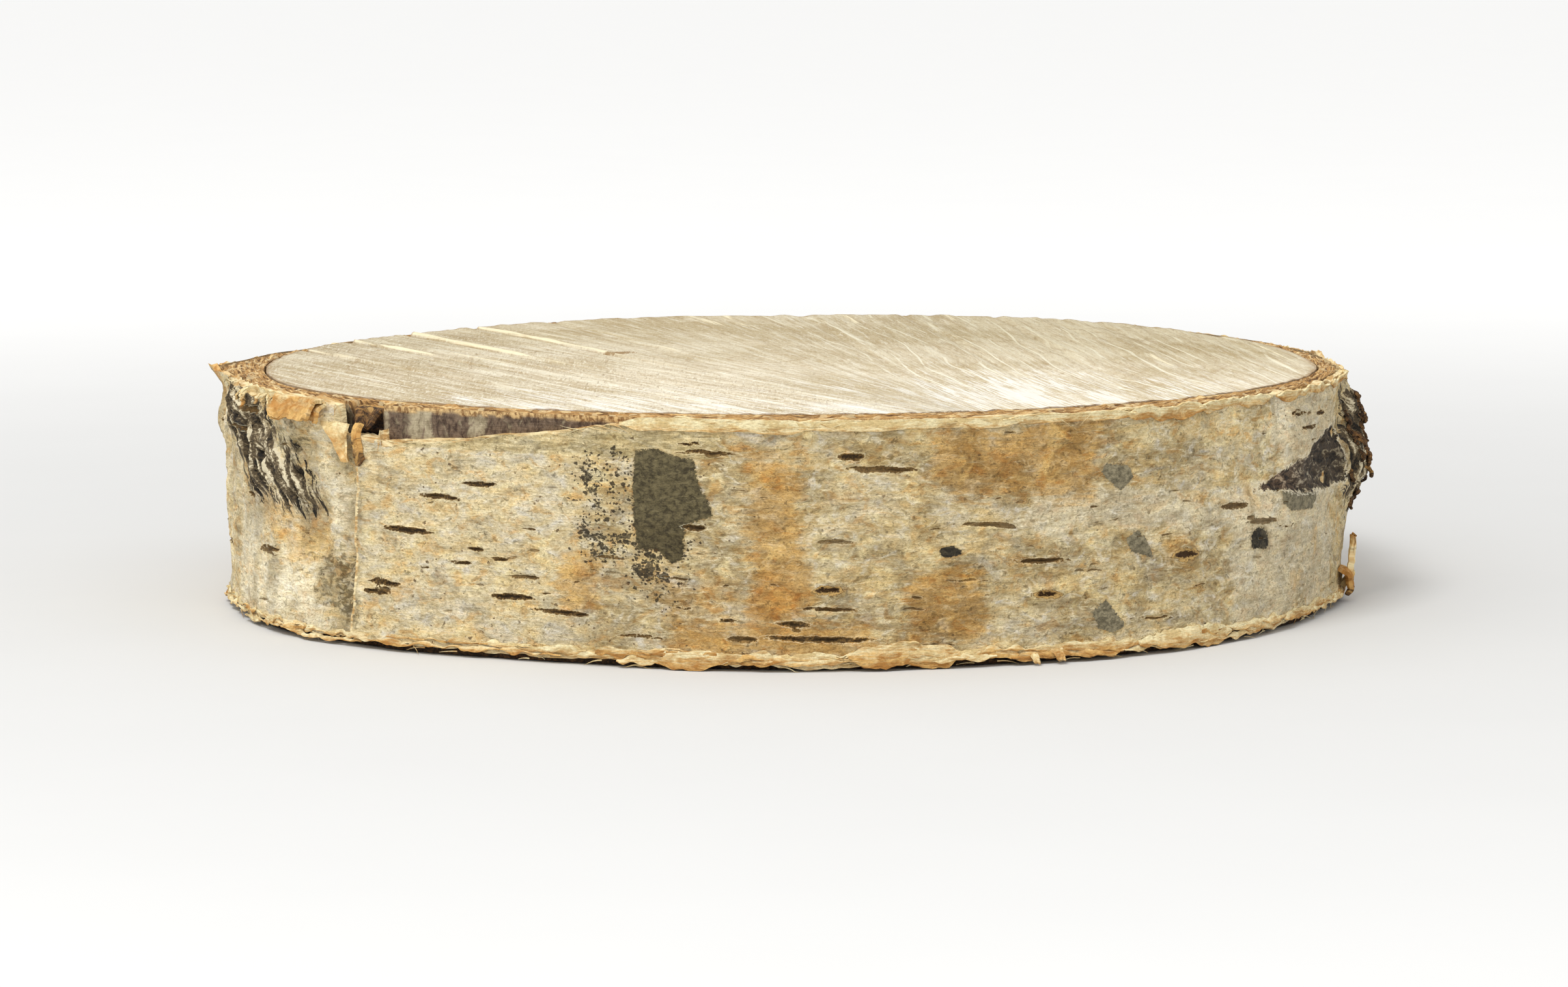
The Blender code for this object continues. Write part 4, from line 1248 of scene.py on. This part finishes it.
def paper_strip(name, material, first, last, low, high, lift_low, lift_high, thickness=0.16, warmth=0.4, seed=0,
                ragged=0.3, columns=None, wave=1.3):
    """A torn layer of bark that lies on the sheet below and lifts off it, with ragged ends and edges."""
    columns = columns or max(8, int((last - first) * 3.2))
    rows = 7
    piece = add_grid(name, columns, rows)
    share, way = grid_places(piece)
    angle = first + (last - first) * share
    s = angle * PER_DEGREE
    ends = smooth(share, 0.0, 0.12) * (1 - smooth(share, 0.88, 1.0))
    jag_low = ragged * (noise(s / wave, s * 0 + seed, 2) + 0.35 * noise(s / 0.5, s * 0 + seed, 5))
    jag_high = ragged * (noise(s / wave, s * 0 + seed, 3) + 0.35 * noise(s / 0.45, s * 0 + seed, 6))
    middle = (low + high) / 2
    bottom = middle + (low + jag_low - middle) * (0.25 + 0.75 * ends)
    top = middle + (high + jag_high - middle) * (0.25 + 0.75 * ends)
    height = bottom + (top - bottom) * way
    lift = lift_low + (lift_high - lift_low) * way**2
    lift = lift * (0.6 + 0.4 * noise(s / 3.1, s * 0 + seed, 4)) + 0.10
    height = np.maximum(height, 0.05)
    radius = bark_face(angle, np.clip(height, 0.3, HEIGHT - 0.5)) + lift
    points = at_place(angle, radius, height)
    move_points(piece, points)
    skin = joined(s, height + 3 * seed, 0 * s)
    # Warmer and darker towards the lower edge: painted shade under the lifted layer, over the layer's own warmth.
    mark(piece, skin=skin,
         warmth=warmth + 0.7 * (0.4 - way))
    return finish_layer(piece, material, thickness, -1.0)


def top_strips(material):
    """Torn lips along the upper edge."""
    strips = (
        (253.5, 271.5, 21.75, 22.95, 0.30, 0.35, 0.30),
        (268.0, 291.0, 22.0, 22.95, 0.26, 0.32, 0.25),
        (289.0, 303.0, 22.1, 22.95, 0.10, 0.25, 0.40),
        (302.0, 312.0, 21.9, 23.0, 0.12, 0.35, 0.60),
        (311.0, 323.0, 22.2, 23.0, 0.10, 0.30, 0.45),
        (324.0, 337.0, 22.3, 22.9, 0.10, 0.30, 0.60),
        (338.0, 350.0, 22.3, 22.9, 0.10, 0.35, 0.50),
        (207.5, 216.5, 22.2, 23.1, 0.05, 0.35, 0.30),
        (356.0, 378.0, 21.0, 22.1, 0.05, 0.35, 0.5),
        (20.0, 45.0, 21.0, 22.1, 0.05, 0.35, 0.3),
        (60.0, 80.0, 21.0, 22.1, 0.05, 0.3, 0.6),
        (84.0, 110.0, 21.0, 22.1, 0.05, 0.3, 0.3),
        (115.0, 140.0, 21.0, 22.1, 0.05, 0.35, 0.5),
        (144.0, 168.0, 20.9, 21.9, 0.05, 0.3, 0.2),
    )
    for number, (first, last, low, high, lift_low, lift_high, warmth) in enumerate(strips, start=1):
        even = 250 < first < 300
        paper_strip(f"top_lip_{number:02d}", material, first, last, low, high, lift_low, lift_high, warmth=warmth,
                    seed=number, ragged=0.13 if even else 0.26, wave=3.2 if even else 1.6)


def foot_strips(material):
    """Frayed layers along the lower edge, two rows of them."""
    pick = np.random.default_rng(9).uniform
    number = 0
    for low, high, flare in ((0.60, 0.45, 0.34), (1.08, 0.50, 0.20)):
        at = 0.0
        while at < 360.0:
            number += 1
            length = pick(4.0, 14.0)
            start = low + pick(-0.15, 0.25)
            top = start + high * pick(0.8, 1.7) * (1 - 0.5 * float(window(at, 186.0, 236.0, 6.0)))
            paper_strip(f"foot_layer_{number:02d}", material, at, at + length, start, top, flare * pick(0.4, 1.8), 0.0,
                        thickness=0.12, warmth=pick(0.1, 1.0), seed=20 + number, ragged=0.28, wave=1.2)
            at += length * pick(0.75, 1.1)


def flap(name, material, angle, width, path, warmth, seed, thickness=0.22, taper=0.6, lean=0.0):
    """A curl of loose bark: (height, mm out of the bark) points along it, smoothed."""
    piece = add_grid(name, 16, 40)
    share, way = grid_places(piece)
    knots = np.linspace(0, 1, len(path))
    fine = np.linspace(0, 1, 60)
    kernel = np.ones(11) / 11
    bends = [np.convolve(np.pad(np.interp(fine, knots, [k[i] for k in path]), 5, "edge"), kernel, "valid")
             for i in (0, 1)]
    wide = width * (1 - (1 - taper) * way) * (1 + 0.10 * noise(way * 5, way * 0 + seed, 3))
    side = (share - 0.5) * wide + lean * way
    end = 0.35 * noise(share * width / 1.1, share * 0 + seed, 8) + 0.15 * noise(share * width / 0.4, share * 0, 4)
    reach = way * (1 + end * 0.5 * way)
    turn = angle + np.degrees(side / MIDDLE_RADIUS)
    height = np.interp(reach, fine, bends[0]) + 0.08 * noise(share * 6, way * 9 + seed, 2)
    out = np.interp(reach, fine, bends[1]) + 0.35 * (share - 0.5) ** 2 * width
    out = out + 0.10 * noise(share * 4 + seed, way * 5, 5)
    radius = bark_face(np.full(len(turn), angle), np.clip(height, 0.5, HEIGHT - 0.5)) + out
    move_points(piece, at_place(turn, radius, np.maximum(height, 0.05)))
    mark(piece, skin=joined(side * 0.8 + 7 * seed, way * 1.1, 0 * way),
         warmth=warmth + 0.5 * (way - 0.5))
    return finish_layer(piece, material, thickness, 0.0)


# Single curls: name, angle, width, path, warmth, seed, thickness, share of the width left at the tip, and lean
CURLS = (
    ("notch_curl", 226.4, 1.0, ((21.1, 0.1), (20.2, 0.6), (18.8, 0.7), (17.2, 0.4)), 1.15, 1, 0.4, 1.0, 0.5),
    ("notch_lobe", 223.7, 4.0, ((21.1, 0.1), (20.2, 0.3), (18.9, 0.35), (17.4, 0.3)), 0.45, 12, 0.18, 0.12, 1.6),
    ("notch_rim", 226.4, 4.0, ((22.4, -2.2), (22.3, -1.2), (21.5, -0.7), (20.6, -0.6)), 1.5, 13, 0.3, 0.5),
    ("folded_flap", 219.0, 7.2, ((22.9, -0.9), (22.95, 0.15), (22.0, 0.45), (20.9, 0.5)), 0.7, 4, 0.3, 0.85),
    ("folded_tip", 221.5, 2.4, ((22.8, 0.1), (22.3, 0.7), (21.5, 0.8), (20.9, 0.6)), 0.75, 14, 0.3, 0.9),
    ("right_foot_curl", 349.5, 1.6, ((1.2, -0.3), (2.2, 0.7), (4.2, 1.1), (6.7, 1.1)), 0.3, 6, 0.6, 0.15),
    ("right_foot_lump", 348.0, 2.4, ((3.4, -0.2), (2.8, 0.8), (1.6, 1.0), (0.7, 0.6)), 1.0, 3, 0.4, 0.7),
    ("foot_curl", 294.6, 1.2, ((1.4, -0.2), (1.1, 0.4), (0.7, 0.9), (0.2, 1.2)), 0.6, 8),
    ("foot_curl_low", 292.2, 0.8, ((1.0, -0.2), (0.9, 0.4), (0.5, 0.8), (0.2, 1.1)), 0.35, 9),
    ("back_flap", 76.0, 6.0, ((20.8, -0.2), (20.0, 0.6), (18.8, 1.2), (17.4, 1.6)), 0.4, 10, 0.25, 0.8),
    ("back_foot_flap", 152.0, 5.0, ((3.0, -0.2), (2.2, 0.6), (1.2, 1.1), (0.5, 1.5)), 0.7, 11, 0.25, 0.8),
)

# Torn layers at the foot: name, angles, heights, lift of both edges, thickness, warmth, seed, raggedness, columns, wave
FOOT_FLAPS = (
    ("foot_flap", 274.6, 285.0, 0.35, 2.5, 0.55, 0.12, 0.2, 0.75, 7, 0.32, 40, 2.4),
    ("foot_flap_left", 255.0, 268.5, 0.3, 1.9, 0.45, 0.08, 0.16, 0.65, 15, 0.38, 50, 2.0),
    ("foot_flap_right", 303.5, 316.0, 0.5, 2.0, 0.5, 0.1, 0.16, 0.5, 16, 0.42, 50, 1.8),
)
FLAKES = 34  # on the dark knot at the right
STRAWS = 14  # over the rim on the left


def flaps(material):
    """The single curls and flaps, then the flakes and the straws."""
    for name, *numbers in CURLS:
        flap(name, material, *numbers)
    for name, *numbers in FOOT_FLAPS:
        paper_strip(name, material, *numbers)
    pick = np.random.default_rng(17).uniform
    for number in range(1, FLAKES + 1):
        level = pick(9.5, 21.5)
        reach, drop = pick(0.15, 0.5), pick(0.8, 2.2)
        path = ((level + drop * 0.6, -0.3), (level + drop * 0.3, 0.1), (level, reach * 0.7),
                (level - drop * 0.5, reach))
        flap(f"dark_flake_{number:02d}", material, pick(347.0, 356.0), pick(0.8, 1.8), path,
             pick(1.3, 2.4), 30 + number, 0.25, pick(0.4, 0.9), pick(-0.5, 0.5))
    for number in range(1, STRAWS + 1):
        level = pick(22.2, 22.8)
        path = ((level, -0.7), (level + 0.2, 0.0), (level - 0.2, 0.4), (level - pick(0.4, 1.4), 0.35))
        flap(f"straw_{number:02d}", material, pick(206.0, 217.0), pick(0.25, 0.5), path,
             pick(0.0, 0.5), 70 + number, 0.14, 0.4, pick(-2.4, 2.4))


FIBRES = 170


def fibres(material):
    """Loose fibres along the torn edges: one bent sliver, copied all round."""
    draw = np.random.default_rng(21)
    pick = draw.uniform
    slivers = []
    for number in range(FIBRES):
        bpy.ops.object.select_all(action="DESELECT")
        bpy.ops.mesh.primitive_cylinder_add(vertices=4, radius=1.0, depth=2.0, end_fill_type="NGON")
        sliver = bpy.context.object
        bpy.ops.object.mode_set(mode="EDIT")
        bpy.ops.mesh.select_all(action="SELECT")
        bpy.ops.mesh.subdivide(number_cuts=3)
        bpy.ops.object.mode_set(mode="OBJECT")
        points = read_points(sliver)
        way = (points[:, 2] + 1) / 2
        upper = draw.random() < 0.35
        angle = pick(196, 340) if upper or draw.random() < 0.5 else pick(0, 360)
        level = float(rim_height(np.array([angle]))[0]) - 0.1 if upper else pick(0.2, 1.2)
        length = pick(0.8, 2.6)
        slope = pick(-0.9, 0.3) if upper else pick(-0.25, 0.5)
        lean = pick(-1, 1)
        bend = pick(-0.8, 0.3)
        thick = pick(0.04, 0.08) * (1 - 0.75 * way)
        s = length * (way - 0.1) * math.copysign(1, lean)
        height = level + slope * length * 0.35 * way + bend * way * way + points[:, 0] * thick
        height = np.clip(height, 0.04, HEIGHT + 0.3)
        at = angle + np.degrees(s / MIDDLE_RADIUS)
        out = 0.06 + 0.45 * way * pick(0.1, 1.0) + points[:, 1] * thick
        base = float(bark_face(np.array([angle]), np.array([np.clip(level, 0.5, HEIGHT - 0.5)]))[0])
        move_points(sliver, at_place(at, base + out, height))
        mark(sliver, skin=joined(way * 2 + number, points[:, 0] * 0.1, 0 * way))
        mark(sliver, warmth=np.full(len(way), pick(0.0, 0.7)))
        slivers.append(sliver)
    bpy.ops.object.select_all(action="DESELECT")
    for sliver in slivers:
        sliver.select_set(True)
    bpy.context.view_layer.objects.active = slivers[0]
    bpy.ops.object.join()
    piece = slivers[0]
    piece.name = piece.data.name = "loose_fibres"
    bpy.ops.object.transform_apply(location=True, rotation=True, scale=True)
    return finish_piece(piece, "bark", material)


SKY_FACES = (-0.25, -0.62, 0.74)  # towards the brightest part of the white surroundings
SKY_LOW, SKY_HIGH = 0.52, 1.14  # strength of the surroundings, away from there and there
SOFTBOX = (-0.22, -0.45, 0.70)  # m
SOFTBOX_POWER = 3.2  # W
GLOW = (0.07, 0.42, 0.0, 0.31)  # two distances from the slice in m, and the floor's own light at each
FLOOR_SIZE = 12.0  # m
SOFTBOX_SIZE = 0.25  # m


def studio():
    """A pale floor, bright surroundings and a soft light from above."""
    bpy.ops.object.select_all(action="DESELECT")
    bpy.ops.mesh.primitive_plane_add(size=FLOOR_SIZE, location=(0, 0, 0))
    floor = bpy.context.object
    floor.name = "floor"
    p = Paint("floor_white", 0.9)
    place = p.place()
    dust = p.noise(place, (40,) * 3, 3.0)
    far = p.fill("ShaderNodeVectorMath", {0: place}, "Value", operation="LENGTH")
    # The floor glows: painted light, none close to the slice and rising further out, so that the far floor turns white.
    p.put(p.shader.inputs["Emission Color"], (1.0, 1.0, 1.0))
    p.put(p.shader.inputs["Emission Strength"], p.step(far, *GLOW))
    floor.data.materials.append(p.finish(p.mix((0.68, 0.678, 0.665), (0.70, 0.698, 0.685), dust)))
    world = bpy.data.worlds.new("studio")
    bpy.context.scene.world = world
    sky = Nodes(world)
    direction = sky.add("ShaderNodeTexCoord").outputs["Generated"]
    facing = sky.fill("ShaderNodeVectorMath", {0: direction, 1: SKY_FACES}, "Value", operation="DOT_PRODUCT")
    strength = sky.fill("ShaderNodeMapRange", {"Value": facing, "From Min": -0.3, "To Min": SKY_LOW,
                                               "To Max": SKY_HIGH}, "Result")
    background = sky.tree.nodes["Background"]
    sky.put(background.inputs["Strength"], strength)
    sky.put(background.inputs["Color"], (1.0, 1.0, 1.0))
    lamp = bpy.data.lights.new("softbox", "AREA")
    lamp.size = SOFTBOX_SIZE
    lamp.energy = SOFTBOX_POWER
    light = bpy.data.objects.new("softbox", lamp)
    light.location = SOFTBOX
    light.rotation_euler = (-Vector(SOFTBOX)).to_track_quat("-Z", "Y").to_euler()
    bpy.context.scene.collection.objects.link(light)
    bpy.context.scene.view_settings.view_transform = "Standard"


CAMERA_DISTANCE = 520.0  # mm from the middle of the upper face
CAMERA_RISE = 5.4  # degrees over the upper face
CAMERA_LENS = 118.0  # mm
CAMERA_FILM = 36.0  # mm across
CAMERA_AIM = (0, -6.0, 10.0)  # mm, the place in the middle of the picture


def camera():
    """A long lens, low over the sawn face."""
    lens_data = bpy.data.cameras.new("camera")
    lens_data.lens = CAMERA_LENS
    lens_data.sensor_width = CAMERA_FILM
    lens_data.clip_end = 50.0
    shot = bpy.data.objects.new("camera", lens_data)
    rise = math.radians(CAMERA_RISE)
    back, up = CAMERA_DISTANCE * math.cos(rise), CAMERA_DISTANCE * math.sin(rise)
    place = Vector((POLE[0], POLE[1] - back, HEIGHT + up)) * MM
    shot.location = place
    shot.rotation_euler = (Vector(CAMERA_AIM) * MM - place).to_track_quat("-Z", "Y").to_euler()
    bpy.context.scene.collection.objects.link(shot)
    bpy.context.scene.camera = shot


wood_disc()
inner_bark(inner_bark_stuff())
PAPER = birch_paper()
bark_sheet("bark_sheet_front", SEAM_FRONT, 360.0 + SEAM_BACK + 4.0, PAPER)
bark_sheet("bark_sheet_back", SEAM_BACK, SEAM_FRONT + 3.0, PAPER)
TORN = torn_paper_stuff()
top_strips(TORN)
foot_strips(TORN)
flaps(TORN)
fibres(TORN)
studio()
camera()
bpy.context.view_layer.update()
